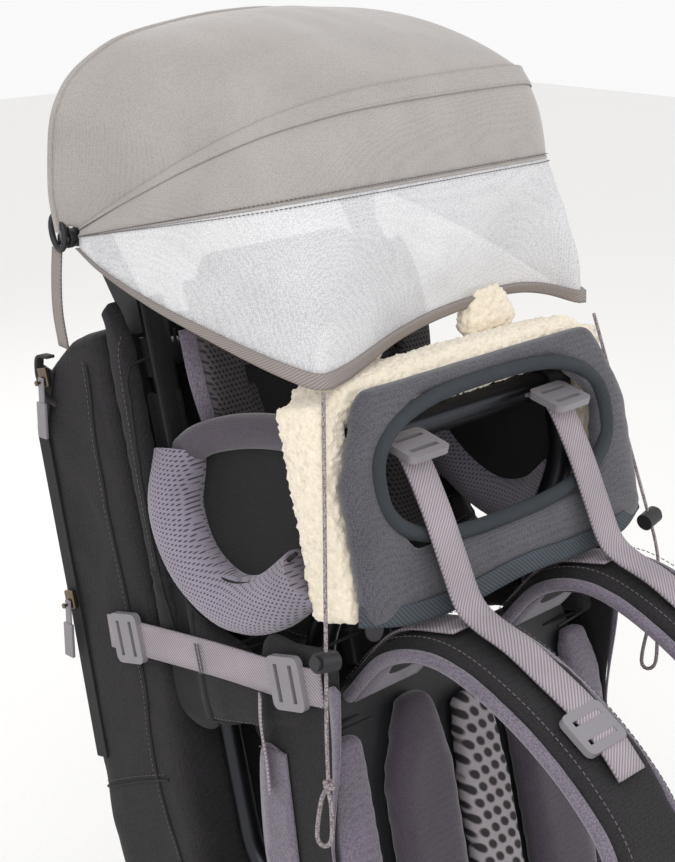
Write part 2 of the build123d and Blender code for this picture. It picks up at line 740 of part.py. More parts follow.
def stand_up(nodes):
    """Lean the pack back on its stand and centre it over the origin."""
    leaned = {name: Rot(-LEAN, 0, 0) * shape for name, shape in nodes.items()}
    boxes = [shape.bounding_box() for name, shape in leaned.items() if not name.startswith("tension")]
    middle = (min(box.min.Y for box in boxes) + max(box.max.Y for box in boxes)) / 2
    shift = Pos(0, -middle, 0)
    return {name: shift * shape for name, shape in leaned.items()}, middle


os.makedirs("parts", exist_ok=True)
PIECES, MIDDLE_Y = stand_up(build_nodes())
for node_name, node_shape in PIECES.items():
    export_step(node_shape, os.path.join("parts", node_name + ".step"))
print("nodes", len(PIECES), "middle", round(MIDDLE_Y, 3))
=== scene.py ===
import json
import logging
import math
from dataclasses import dataclass, field
from enum import Enum
from typing import Callable, Optional, Sequence

import bmesh
import bpy
from mathutils import Matrix, Vector, noise
from mathutils.bvhtree import BVHTree


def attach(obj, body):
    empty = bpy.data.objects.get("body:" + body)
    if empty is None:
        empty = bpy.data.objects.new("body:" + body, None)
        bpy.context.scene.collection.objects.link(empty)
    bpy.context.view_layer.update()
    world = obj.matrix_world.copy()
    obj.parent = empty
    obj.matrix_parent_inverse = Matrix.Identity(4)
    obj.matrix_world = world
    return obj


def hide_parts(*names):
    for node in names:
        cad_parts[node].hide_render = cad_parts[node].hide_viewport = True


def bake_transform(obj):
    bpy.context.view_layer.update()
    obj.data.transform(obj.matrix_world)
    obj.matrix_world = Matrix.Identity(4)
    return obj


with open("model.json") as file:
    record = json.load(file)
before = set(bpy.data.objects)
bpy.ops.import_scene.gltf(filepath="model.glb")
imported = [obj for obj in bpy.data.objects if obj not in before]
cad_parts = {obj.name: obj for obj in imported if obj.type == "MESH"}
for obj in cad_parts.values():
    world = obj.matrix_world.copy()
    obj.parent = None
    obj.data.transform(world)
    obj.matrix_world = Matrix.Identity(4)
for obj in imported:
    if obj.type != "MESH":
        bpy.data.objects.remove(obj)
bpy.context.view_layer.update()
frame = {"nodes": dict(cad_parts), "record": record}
LOG = logging.getLogger("baby_carrier")
MM = 0.001
SIDES = (("left", -1), ("right", 1))
CLOTH_FRAMES = 20

Point = tuple[float, float, float]
Flat = tuple[float, float]


# ---------------------------------------------------------------- the pack's own frame

@dataclass(frozen=True)
class PackFrame:
    """The pack leans back on its stand: x right, v rearwards from the back plate, w up it, in mm."""

    lean: float = math.radians(14.3)
    hinge: Flat = (151.0, 817.0)

    @property
    def shift(self) -> float:
        """How far the leaned pack is moved along Y, in metres."""
        joint = next(j for j in frame["record"]["behaviour"]["joints"] if j["name"] == "canopy_fold")
        v, w = self.hinge
        return joint["pos_m"][1] - (v * math.cos(self.lean) + w * math.sin(self.lean)) * MM

    def at(self, x: float, v: float, w: float) -> Vector:
        """A place in the pack's frame, in the world's metres."""
        return Vector((x * MM, self.shift, 0.0)) + self.along(0, v, w) * MM

    def along(self, x: float, v: float, w: float) -> Vector:
        """A direction in the pack's frame, in the world's."""
        cos, sin = math.cos(self.lean), math.sin(self.lean)
        return Vector((x, v * cos + w * sin, w * cos - v * sin))


PACK = PackFrame()


# ---------------------------------------------------------------- finishes

class Pattern(Enum):
    """What the surface shows close up."""

    GRAIN = "fine moulded or cast grain"
    CLOTH = "woven threads seen as a speckle"
    TWILL = "diagonal ribs on a strap's own UV"
    HOLES = "rows of holes in a knitted spacer"
    PILE = "curled pile"
    BRUSHED = "drawn along its length"


class Face(Enum):
    """Which way a pattern's rows run: over the sides, over the back and front, or on the UV."""

    SIDE = (1, 2)
    BACK = (0, 2)
    UV = (0, 1)


def linear(code: str) -> tuple[float, float, float, float]:
    """An sRGB hex colour as linear RGBA."""
    parts = [int(code[i:i + 2], 16) / 255 for i in (1, 3, 5)]
    return (*[c / 12.92 if c <= 0.04045 else ((c + 0.055) / 1.055) ** 2.4 for c in parts], 1.0)


def add_node(tree: bpy.types.NodeTree, kind: str, inputs: Optional[dict] = None,
             **settings) -> bpy.types.Node:
    """Add one shader node.

    Args:
        tree: The material's node tree.
        kind: The node's type name.
        inputs: Socket name or number to a value, or to another node's output socket.
        settings: The node's own properties.

    Returns:
        The new node.
    """
    node = tree.nodes.new(kind)
    for name, value in settings.items():
        setattr(node, name, value)
    for name, value in (inputs or {}).items():
        if isinstance(value, bpy.types.NodeSocket):
            tree.links.new(value, node.inputs[name])
        else:
            node.inputs[name].default_value = value
    return node


@dataclass(frozen=True)
class Finish:
    """One real finish, as a procedural material."""

    name: str
    colour: str
    shade: str
    pattern: Pattern
    pitch: float = 1.5
    depth: float = 0.15
    roughness: float = 0.8
    metallic: float = 0.0
    sheen: float = 0.0
    alpha: float = 1.0
    face: Face = Face.SIDE
    hole: float = 0.3
    blotch: float = 0.12
    see_through: bool = False

    def coordinates(self, tree: bpy.types.NodeTree) -> bpy.types.NodeSocket:
        """Object coordinates, or the UV map, counted in pitches."""
        source = add_node(tree, "ShaderNodeTexCoord")
        place = source.outputs["UV" if self.face is Face.UV else "Object"]
        scale = 1 / (self.pitch * MM)
        return add_node(tree, "ShaderNodeVectorMath", {0: place, 1: (scale,) * 3},
                        operation="MULTIPLY").outputs[0]

    def rows(self, tree: bpy.types.NodeTree, place: bpy.types.NodeSocket) -> bpy.types.NodeSocket:
        """Distance from the nearest hole's middle, in staggered rows."""
        split = add_node(tree, "ShaderNodeSeparateXYZ", {0: place})
        across, up = (split.outputs[i] for i in self.face.value)
        lean = add_node(tree, "ShaderNodeMath", {0: up, 1: 0.5, 2: across}, operation="MULTIPLY_ADD")
        flat = add_node(tree, "ShaderNodeCombineXYZ", {0: lean.outputs[0], 1: up})
        cells = add_node(tree, "ShaderNodeTexVoronoi", {"Vector": flat.outputs[0], "Scale": 1.0,
                                                        "Randomness": 0.08}, voronoi_dimensions="2D")
        return cells.outputs["Distance"]

    def height(self, tree: bpy.types.NodeTree, place: bpy.types.NodeSocket) -> bpy.types.NodeSocket:
        """The pattern's height, from 0 low to 1 high."""
        if self.pattern is Pattern.HOLES:
            spread = add_node(tree, "ShaderNodeMapRange", {0: self.rows(tree, place), 1: self.hole - 0.07,
                                                           2: self.hole + 0.07})
            return spread.outputs[0]
        if self.pattern is Pattern.TWILL:
            wave = add_node(tree, "ShaderNodeTexWave", {"Vector": place, "Scale": 0.32, "Distortion": 0.6,
                                                        "Detail": 1.0}, bands_direction="DIAGONAL")
            return wave.outputs["Fac"]
        if self.pattern is Pattern.CLOTH:
            cells = add_node(tree, "ShaderNodeTexVoronoi", {"Vector": place, "Scale": 1.0,
                                                            "Randomness": 0.55})
            spread = add_node(tree, "ShaderNodeMapRange", {0: cells.outputs["Distance"], 1: 0.75, 2: 0.15})
            return spread.outputs[0]
        detail = 6.0 if self.pattern is Pattern.PILE else 2.0
        stretch = (1, 1, 0.06) if self.pattern is Pattern.BRUSHED else (1, 1, 1)
        pulled = add_node(tree, "ShaderNodeVectorMath", {0: place, 1: stretch}, operation="MULTIPLY")
        grain = add_node(tree, "ShaderNodeTexNoise", {"Vector": pulled.outputs[0], "Scale": 1.0,
                                                      "Detail": detail})
        return grain.outputs["Fac"]

    def build(self) -> bpy.types.Material:
        """The material, made once and then reused."""
        known = bpy.data.materials.get(self.name)
        if known:
            return known
        material = bpy.data.materials.new(self.name)
        material.use_nodes = True
        tree = material.node_tree
        tree.nodes.clear()
        height = self.height(tree, self.coordinates(tree))
        where = add_node(tree, "ShaderNodeTexCoord").outputs["Object"]
        cloud = add_node(tree, "ShaderNodeTexNoise", {"Vector": where, "Scale": 22.0, "Detail": 3.0})
        tint = add_node(tree, "ShaderNodeMix", {0: height, 6: linear(self.shade), 7: linear(self.colour)},
                        data_type="RGBA")
        wash = add_node(tree, "ShaderNodeMapRange", {0: cloud.outputs["Fac"], 1: 0.3, 2: 0.7,
                                                     3: 1 - self.blotch, 4: 1 + self.blotch})
        colour = add_node(tree, "ShaderNodeVectorMath", {0: tint.outputs[2], 3: wash.outputs[0]},
                          operation="SCALE")
        bump = add_node(tree, "ShaderNodeBump", {"Strength": 0.7, "Distance": self.depth * MM,
                                                 "Height": height})
        shader = add_node(tree, "ShaderNodeBsdfPrincipled", {
            "Base Color": colour.outputs[0], "Roughness": self.roughness, "Metallic": self.metallic,
            "Sheen Weight": self.sheen, "Sheen Roughness": 0.5, "Alpha": self.alpha,
            "Normal": bump.outputs[0]})
        if self.see_through:
            threads = add_node(tree, "ShaderNodeMapRange", {0: height, 3: self.alpha - 0.12,
                                                            4: self.alpha + 0.1})
            tree.links.new(threads.outputs[0], shader.inputs["Alpha"])
        surface = add_node(tree, "ShaderNodeOutputMaterial", {"Surface": shader.outputs[0]})
        surface.is_active_output = True
        return material


# Woven nylon taffeta: thin, matt, with a faint even thread.
TAFFETA = Finish("grey_taffeta", "#aea8a4", "#9a9490", Pattern.CLOTH, 1.1, 0.05, 0.75, sheen=0.25,
                 blotch=0.05)
# Fine insect net, knitted white: threads too fine to show one by one, so a veil with a slight grain.
NET = Finish("white_net", "#eeeeef", "#d8d8dc", Pattern.CLOTH, 1.4, 0.05, 0.7, alpha=0.66, blotch=0.04,
             see_through=True)
# Twisted-edge binding tape: short cross ribs.
BINDING = Finish("taupe_binding", "#9c938f", "#7d7571", Pattern.TWILL, 1.6, 0.3, 0.8, face=Face.UV,
                 blotch=0.05)
# Textured 600-denier polyester pack cloth, black with a plum cast: matt speckle.
PACK_CLOTH = Finish("black_pack_cloth", "#242024", "#100e11", Pattern.CLOTH, 1.7, 0.35, 0.85, sheen=0.04)
# Smoother black polyester for gussets and bindings.
BLACK_CLOTH = Finish("black_gusset_cloth", "#1b181b", "#0d0c0d", Pattern.CLOTH, 1.4, 0.2, 0.8, sheen=0.03)
# Brushed lavender polyester knit: soft, a little lighter where the nap catches light.
LAVENDER = Finish("lavender_knit", "#7e7583", "#5e5664", Pattern.CLOTH, 1.6, 0.3, 0.9, sheen=0.35)
# Lavender spacer knit with small open cells.
AIR_MESH = Finish("lavender_air_mesh", "#898190", "#403a44", Pattern.HOLES, 3.0, 0.8, 0.9, sheen=0.3,
                  hole=0.24)
# Black spacer knit with long cells, inside the child's seat.
SEAT_MESH = Finish("black_spacer_mesh", "#4a4448", "#191719", Pattern.HOLES, 3.6, 1.0, 0.85, hole=0.3,
                   face=Face.BACK)
# Aubergine stretch knit over foam: a soft brushed nap.
AUBERGINE = Finish("aubergine_stretch_knit", "#4d4250", "#3a313d", Pattern.CLOTH, 1.3, 0.15, 0.9, sheen=0.4,
                   face=Face.BACK)
# Open honeycomb spacer mesh: pale cords round dark cells.
HONEYCOMB = Finish("grey_honeycomb_mesh", "#a19a9f", "#2a2629", Pattern.HOLES, 10.5, 2.5, 0.8, hole=0.34,
                   face=Face.BACK, blotch=0.05)
# Heather-grey sweatshirt jersey.
JERSEY = Finish("heather_jersey", "#5c5a61", "#3f3e45", Pattern.CLOTH, 1.3, 0.2, 0.95, sheen=0.3,
                face=Face.BACK)
# Slate knitted edge binding.
SLATE = Finish("slate_binding", "#4a5057", "#333a41", Pattern.TWILL, 1.8, 0.4, 0.9, face=Face.UV)
# Cream teddy fleece: curled pile that breaks the outline.
FLEECE = Finish("cream_teddy_fleece", "#fff6e6", "#e4d4b8", Pattern.PILE, 2.2, 1.6, 1.0, sheen=0.6,
                blotch=0.04)
# Woven polyester webbing, mauve-grey, 25 mm wide, with a diagonal rib.
WEBBING = Finish("mauve_webbing", "#aea4ab", "#81767f", Pattern.TWILL, 1.5, 0.35, 0.75, face=Face.UV,
                 sheen=0.1)
DARK_WEBBING = Finish("black_webbing", "#3a3639", "#1d1b1d", Pattern.TWILL, 1.5, 0.35, 0.75, face=Face.UV)
# Acetal buckle plastic, satin warm grey.
ACETAL = Finish("grey_acetal", "#8a868b", "#7f7b81", Pattern.GRAIN, 0.8, 0.03, 0.38, blotch=0.03)
# Glass-filled nylon, black, lightly textured.
NYLON = Finish("black_glass_nylon", "#26262a", "#1c1c1f", Pattern.GRAIN, 0.7, 0.06, 0.5, blotch=0.03)
# Black-anodised aluminium tube: drawn lines, soft shine.
TUBE = Finish("anodised_tube", "#3a3b40", "#303136", Pattern.BRUSHED, 0.5, 0.02, 0.35, metallic=0.9,
              blotch=0.02)
# Moulded rubber feet.
RUBBER = Finish("moulded_rubber", "#1e1e20", "#161618", Pattern.GRAIN, 0.9, 0.1, 0.85, blotch=0.05)
# Zinc-plated steel pins.
STEEL = Finish("zinc_plated_steel", "#b9b9bb", "#a3a3a6", Pattern.GRAIN, 0.6, 0.02, 0.3, metallic=1.0,
               blotch=0.02)
# Lighter acetal for the press buttons: satin, plain.
BUTTON = Finish("light_acetal", "#b9b4ba", "#aaa5ac", Pattern.GRAIN, 0.8, 0.03, 0.35, blotch=0.02)
# Die-cast zinc zip slider, antique brass plating.
ZIP_METAL = Finish("antique_brass_plate", "#8a7a66", "#5d5043", Pattern.GRAIN, 0.8, 0.05, 0.35, metallic=1.0)
# Polyester zip tape and coil teeth.
ZIP_TAPE = Finish("black_zip_tape", "#222023", "#121112", Pattern.CLOTH, 1.0, 0.2, 0.7)
# Elastic cord's braid: light threads with dark flecks.
BRAID = Finish("flecked_elastic_braid", "#b4a9ad", "#5c5256", Pattern.CLOTH, 1.3, 0.3, 0.8)
# Sewing thread.
THREAD = Finish("grey_thread", "#6c6469", "#5b5459", Pattern.GRAIN, 0.6, 0.05, 0.8)
PALE_THREAD = Finish("pale_thread", "#d2ccc8", "#c0bab6", Pattern.GRAIN, 0.6, 0.05, 0.8)


# ---------------------------------------------------------------- mesh tools

def add_object(name: str, mesh: bpy.types.Mesh, finish: Finish) -> bpy.types.Object:
    """Put a mesh in the scene, smooth shaded, with one finish."""
    piece = bpy.data.objects.new(name, mesh)
    bpy.context.scene.collection.objects.link(piece)
    mesh.materials.clear()
    mesh.materials.append(finish.build())
    for face in mesh.polygons:
        face.use_smooth = True
    return piece


def finished(bm: bmesh.types.BMesh, name: str, finish: Finish) -> bpy.types.Object:
    """Turn a bmesh into a piece with one finish, and free it."""
    mesh = bpy.data.meshes.new(name)
    bm.to_mesh(mesh)
    bm.free()
    return add_object(name, mesh, finish)


def applied(piece: bpy.types.Object) -> bpy.types.Object:
    """Make the piece's modifiers part of its mesh."""
    graph = bpy.context.evaluated_depsgraph_get()
    mesh = bpy.data.meshes.new_from_object(piece.evaluated_get(graph))
    piece.modifiers.clear()
    piece.data = mesh
    return piece


def smooth_path(points: Sequence[Vector], step: float = 4 * MM) -> list[Vector]:
    """A Catmull-Rom line through the points, sampled about every step."""
    ends = [points[0] * 2 - points[1], *points, points[-1] * 2 - points[-2]]
    line = []
    for a, b, c, d in zip(ends, ends[1:], ends[2:], ends[3:]):
        count = max(2, round((c - b).length / step))
        for i in range(count):
            t = i / count
            line.append(0.5 * (2 * b + (c - a) * t + (2 * a - 5 * b + 4 * c - d) * t * t
                               + (3 * b - a - 3 * c + d) * t ** 3))
    return [*line, points[-1]]


def at_fraction(line: Sequence[Vector], t: float) -> Vector:
    """The point a fraction t along a sampled line, by length."""
    runs = [(b - a).length for a, b in zip(line, line[1:])]
    left = min(max(t, 0), 1) * sum(runs)
    for a, b, run in zip(line, line[1:], runs):
        if left <= run:
            return a.lerp(b, left / run if run else 0)
        left -= run
    return line[-1].copy()


def surface(name: str, across: int, along: int, place: Callable[[float, float], Vector],
            size: Flat, finish: Finish, thick: float = 0.0) -> bpy.types.Object:
    """A grid laid over a curved surface, with its UV in real metres.

    Args:
        name: The piece's name.
        across: Squares along u.
        along: Squares along v.
        place: Where u and v, each from 0 to 1, lie.
        size: The cloth's real width and length in metres, for the UV.
        finish: Its finish.
        thick: Its thickness in metres, centred on the surface.

    Returns:
        The new object.
    """
    bm = bmesh.new()
    uv = bm.loops.layers.uv.new("UVMap")
    bmesh.ops.create_grid(bm, x_segments=across, y_segments=along, size=0.5, calc_uvs=True)
    for vert in bm.verts:
        u, v = vert.co.x + 0.5, vert.co.y + 0.5
        for loop in vert.link_loops:
            loop[uv].uv = (u * size[0], v * size[1])
        vert.co = place(u, v)
    bmesh.ops.recalc_face_normals(bm, faces=bm.faces)
    if thick:
        bmesh.ops.solidify(bm, geom=bm.faces[:], thickness=thick)
    return finished(bm, name, finish)


def ribbon(name: str, points: Sequence[Vector], width: float, finish: Finish, thick: float = 1.6,
           side: Optional[Sequence[Vector]] = None, step: float = 5.0) -> bpy.types.Object:
    """A flat strap along a line.

    Args:
        name: The piece's name.
        points: The strap's middle, in metres.
        width: Its width in mm.
        finish: Its finish.
        thick: Its thickness in mm.
        side: The way across the strap at its start and end, X if left out.
        step: The length of each square in mm.

    Returns:
        The strap.
    """
    line = smooth_path(points)
    length = sum((b - a).length for a, b in zip(line, line[1:]))
    ways = side or [Vector((1, 0, 0))]

    def place(u: float, v: float) -> Vector:
        """The strap's point at u across it and v along it."""
        way = at_fraction(ways, v) if len(ways) > 1 else ways[0]
        ahead = at_fraction(line, v + 0.01) - at_fraction(line, v - 0.01)
        way = (way - ahead * (way.dot(ahead) / max(ahead.length_squared, 1e-12))).normalized()
        return at_fraction(line, v) + way * ((u - 0.5) * width * MM)

    return surface(name, 4, max(4, round(length / (step * MM))), place, (width * MM, length), finish,
                   thick * MM)


def tube(name: str, points: Sequence[Vector], radius: float, finish: Finish,
         closed: bool = False, sides: int = 2) -> bpy.types.Object:
    """A round cord, piping or rod of a radius in mm through the points, with closed ends."""
    curve = bpy.data.curves.new(name, "CURVE")
    curve.dimensions = "3D"
    curve.bevel_depth = radius * MM
    curve.bevel_resolution = sides
    curve.use_fill_caps = True
    spline = curve.splines.new("POLY")
    spline.points.add(len(points) - 1)
    for target, point in zip(spline.points, points):
        target.co = (*point, 1)
    spline.use_cyclic_u = closed
    holder = bpy.data.objects.new(name + ".line", curve)
    bpy.context.scene.collection.objects.link(holder)
    mesh = bpy.data.meshes.new_from_object(holder.evaluated_get(bpy.context.evaluated_depsgraph_get()))
    bpy.data.objects.remove(holder)
    bpy.data.curves.remove(curve)
    return add_object(name, mesh, finish)


def stitches(name: str, line: Sequence[Vector], finish: Finish = THREAD, pitch: float = 4.0,
             long: float = 2.4, thick: float = 0.7) -> bpy.types.Object:
    """A row of stitches along a line, sizes in mm."""
    length = sum((b - a).length for a, b in zip(line, line[1:]))
    count = max(2, round(length / (pitch * MM)))
    bm = bmesh.new()
    for i in range(count):
        here, ahead = at_fraction(line, (i + 0.5) / count), at_fraction(line, (i + 0.9) / count)
        turn = (ahead - here).to_track_quat("X", "Z").to_matrix().to_4x4()
        scale = Matrix.Diagonal((long * MM, thick * MM, thick * MM, 1))
        bmesh.ops.create_cube(bm, size=1, matrix=Matrix.Translation(here) @ turn @ scale)
    return finished(bm, name, finish)


def ride(piece: bpy.types.Object, slot: str, body: str = "pack", *nodes: str) -> bpy.types.Object:
    """Let a piece ride on a body, and hide the CAD nodes that it stands for."""
    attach(piece, body)
    if nodes:
        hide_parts(*nodes)
    LOG.info("%s rides on %s", piece.name, body)
    return piece


def shown_surface(pieces: Sequence[bpy.types.Object]) -> BVHTree:
    """One search tree over several finished pieces."""
    bm = bmesh.new()
    for piece in pieces:
        bm.from_mesh(piece.data)
    tree = BVHTree.FromBMesh(bm)
    bm.free()
    return tree


@dataclass
class Side:
    """One side of the pack, to lay panels, seams and tapes on."""

    sign: int
    tree: BVHTree
    reach: float = 200.0

    @property
    def tag(self) -> str:
        """The side's name."""
        return "left" if self.sign < 0 else "right"

    def on(self, v: float, w: float, lift: float = 0.5, least: float = 100.0) -> Vector:
        """The surface point at v and w, lifted off it by some mm."""
        start = PACK.at(self.sign * self.reach, v, w)
        hit, _, _, _ = self.tree.ray_cast(start, Vector((-self.sign, 0, 0)))
        x = hit.x / MM if hit is not None else self.sign * least
        x = self.sign * max(abs(x), least)
        return PACK.at(x + self.sign * lift, v, w)

    def line(self, points: Sequence[Flat], lift: float = 0.5, step: float = 5.0,
             least: float = 100.0) -> list[Vector]:
        """A smooth line over the surface."""
        flat = smooth_path([Vector((v, w, 0)) for v, w in points], step)
        return [self.on(p.x, p.y, lift, least) for p in flat]

    def panel(self, name: str, outline: Sequence[Flat], finish: Finish, lift: float = 1.0,
              thick: float = 1.4, least: float = 100.0) -> bpy.types.Object:
        """A sewn panel laid on the surface, with a smooth outline."""
        edge = smooth_path([Vector((*p, 0)) for p in [*outline, outline[0]]], 5.0)[:-1]
        bm = bmesh.new()
        corners = [bm.verts.new(p) for p in edge]
        bm.faces.new(corners)
        bmesh.ops.triangulate(bm, faces=bm.faces[:])
        for _ in range(6):
            rough = [e for e in bm.edges if e.calc_length() > 9]
            if not rough:
                break
            bmesh.ops.subdivide_edges(bm, edges=rough, cuts=1, use_grid_fill=True)
            bmesh.ops.triangulate(bm, faces=bm.faces[:])
            bmesh.ops.beautify_fill(bm, faces=bm.faces[:], edges=bm.edges[:])
        for vert in bm.verts:
            vert.co = self.on(vert.co.x, vert.co.y, lift, least)
        bmesh.ops.recalc_face_normals(bm, faces=bm.faces)
        bmesh.ops.solidify(bm, geom=bm.faces[:], thickness=thick * MM)
        return finished(bm, f"{name}_{self.tag}", finish)


# ---------------------------------------------------------------- padded pieces

@dataclass
class Padded:
    """One padded or baggy piece, grown from its plain solids."""

    name: str
    nodes: tuple[str, ...]
    finish: Finish
    slot: str
    voxel: float = 5.0
    shrink: float = 2.0
    pressure: float = 4.0
    cap: float = 6.0
    fill: float = 0.7
    crumple: float = 0.0
    fold: float = 60.0
    fluff: float = 0.0
    bridges: tuple[tuple[Point, Point], ...] = ()
    piece: Optional[bpy.types.Object] = None
    start: list[Vector] = field(default_factory=list)

    def cut(self) -> None:
        """Copy the solids, merge them and remesh them in even squares."""
        bm = bmesh.new()
        for node in self.nodes:
            bm.from_mesh(frame["nodes"][node].data)
        bmesh.ops.remove_doubles(bm, verts=bm.verts, dist=0.02 * MM)
        bmesh.ops.recalc_face_normals(bm, faces=bm.faces)
        for middle, size in self.bridges:
            turn = Matrix.Rotation(-PACK.lean, 4, "X")
            scale = Matrix.Diagonal((*(side * MM for side in size), 1))
            bmesh.ops.create_cube(bm, size=1, matrix=Matrix.Translation(PACK.at(*middle)) @ turn @ scale)
        self.piece = finished(bm, self.name, self.finish)
        remesh = self.piece.modifiers.new("Even", "REMESH")
        remesh.mode = "VOXEL"
        remesh.voxel_size = self.voxel * MM
        applied(self.piece)
        self.soften(2, -self.shrink)
        self.start = [vert.co.copy() for vert in self.piece.data.vertices]
        self.piece.data.materials.clear()
        self.piece.data.materials.append(self.finish.build())

    def soften(self, rounds: int, grow: float) -> None:
        """Smooth the mesh and move it along its normals by some mm."""
        bm = bmesh.new()
        bm.from_mesh(self.piece.data)
        for _ in range(rounds):
            bmesh.ops.smooth_vert(bm, verts=bm.verts, factor=0.5, use_axis_x=True, use_axis_y=True,
                                  use_axis_z=True)
        bm.normal_update()
        for vert in bm.verts:
            vert.co += vert.normal * grow * MM
        bm.to_mesh(self.piece.data)
        bm.free()

    def add_cloth(self) -> None:
        """Set up the cloth that the air inside will swell."""
        cloth = self.piece.modifiers.new("Swell", "CLOTH")
        cloth.settings.quality = 4
        cloth.settings.mass = 0.25
        cloth.settings.use_pressure = True
        cloth.settings.uniform_pressure_force = self.pressure
        cloth.settings.effector_weights.gravity = 0
        cloth.settings.bending_stiffness = 1.5
        cloth.point_cache.frame_start = 1
        cloth.point_cache.frame_end = CLOTH_FRAMES

    def settle(self) -> None:
        """Keep the swelling within its cap, then add the fabric's folds or pile."""
        if self.piece.modifiers:
            applied(self.piece)
        for vert, home in zip(self.piece.data.vertices, self.start):
            moved = vert.co - home
            if moved.length > self.cap * MM:
                vert.co = home + moved.normalized() * self.cap * MM
        self.soften(1, 0.0)
        smooth = self.piece.modifiers.new("Smooth", "SUBSURF")
        smooth.levels = smooth.render_levels = 1
        applied(self.piece)
        if self.crumple or self.fluff:
            self.relief()
        for face in self.piece.data.polygons:
            face.use_smooth = True
        self.piece.data.materials.clear()
        self.piece.data.materials.append(self.finish.build())
        ride(self.piece, self.slot, "pack", *self.nodes)

    def relief(self) -> None:
        """Folds in slack cloth, or curls of pile."""
        bm = bmesh.new()
        bm.from_mesh(self.piece.data)
        bm.normal_update()
        for vert in bm.verts:
            far = vert.co / (self.fold * MM)
            fold = noise.noise(Vector((far.x, far.y * 1.6, far.z * 0.55)))
            crease = 1 - abs(noise.noise(far * 1.7 + Vector((3, 1, 7)))) * 2
            curl = noise.noise(vert.co / (3.2 * MM)) + 0.6 * noise.noise(vert.co / (1.7 * MM))
            rise = self.crumple * min(0.0, fold * 0.8 + crease * 0.35 - 0.25) + self.fluff * curl
            vert.co += vert.normal * rise * MM
        bm.to_mesh(self.piece.data)
        bm.free()


@dataclass
class PadShop:
    """Makes every padded piece, swelling them all in one run of the cloth."""

    pads: list[Padded] = field(default_factory=list)

    def run(self) -> None:
        """Cut, swell and settle every piece."""
        for pad in self.pads:
            pad.cut()
            if pad.pressure:
                pad.add_cloth()
        scene = bpy.context.scene
        for number in range(1, CLOTH_FRAMES + 1):
            scene.frame_set(number)
        for pad in self.pads:
            pad.settle()


# ---------------------------------------------------------------- canopy

@dataclass(frozen=True)
class Hoop:
    """One hoop of the canopy: its angle about the hinge, and its line as (x, reach) in mm."""

    angle: float
    line: tuple[Flat, ...]

    def point(self, u: float) -> Flat:
        """The (x, reach) at a fraction u of its length, from left to right."""
        here = at_fraction(smooth_cache(self.line), u)
        return here.x, here.y


_LINES: dict[tuple[Flat, ...], list[Vector]] = {}


def smooth_cache(line: tuple[Flat, ...]) -> list[Vector]:
    """The smooth line through a hoop's points, worked out once."""
    if line not in _LINES:
        _LINES[line] = smooth_path([Vector((*p, 0)) for p in line], 6.0)
    return _LINES[line]


def both_sides(half: Sequence[Flat]) -> tuple[Flat, ...]:
    """A hoop's left half, which ends at the middle, and its mirror image."""
    return (*half, *[(-x, r) for x, r in reversed(half[:-1])])


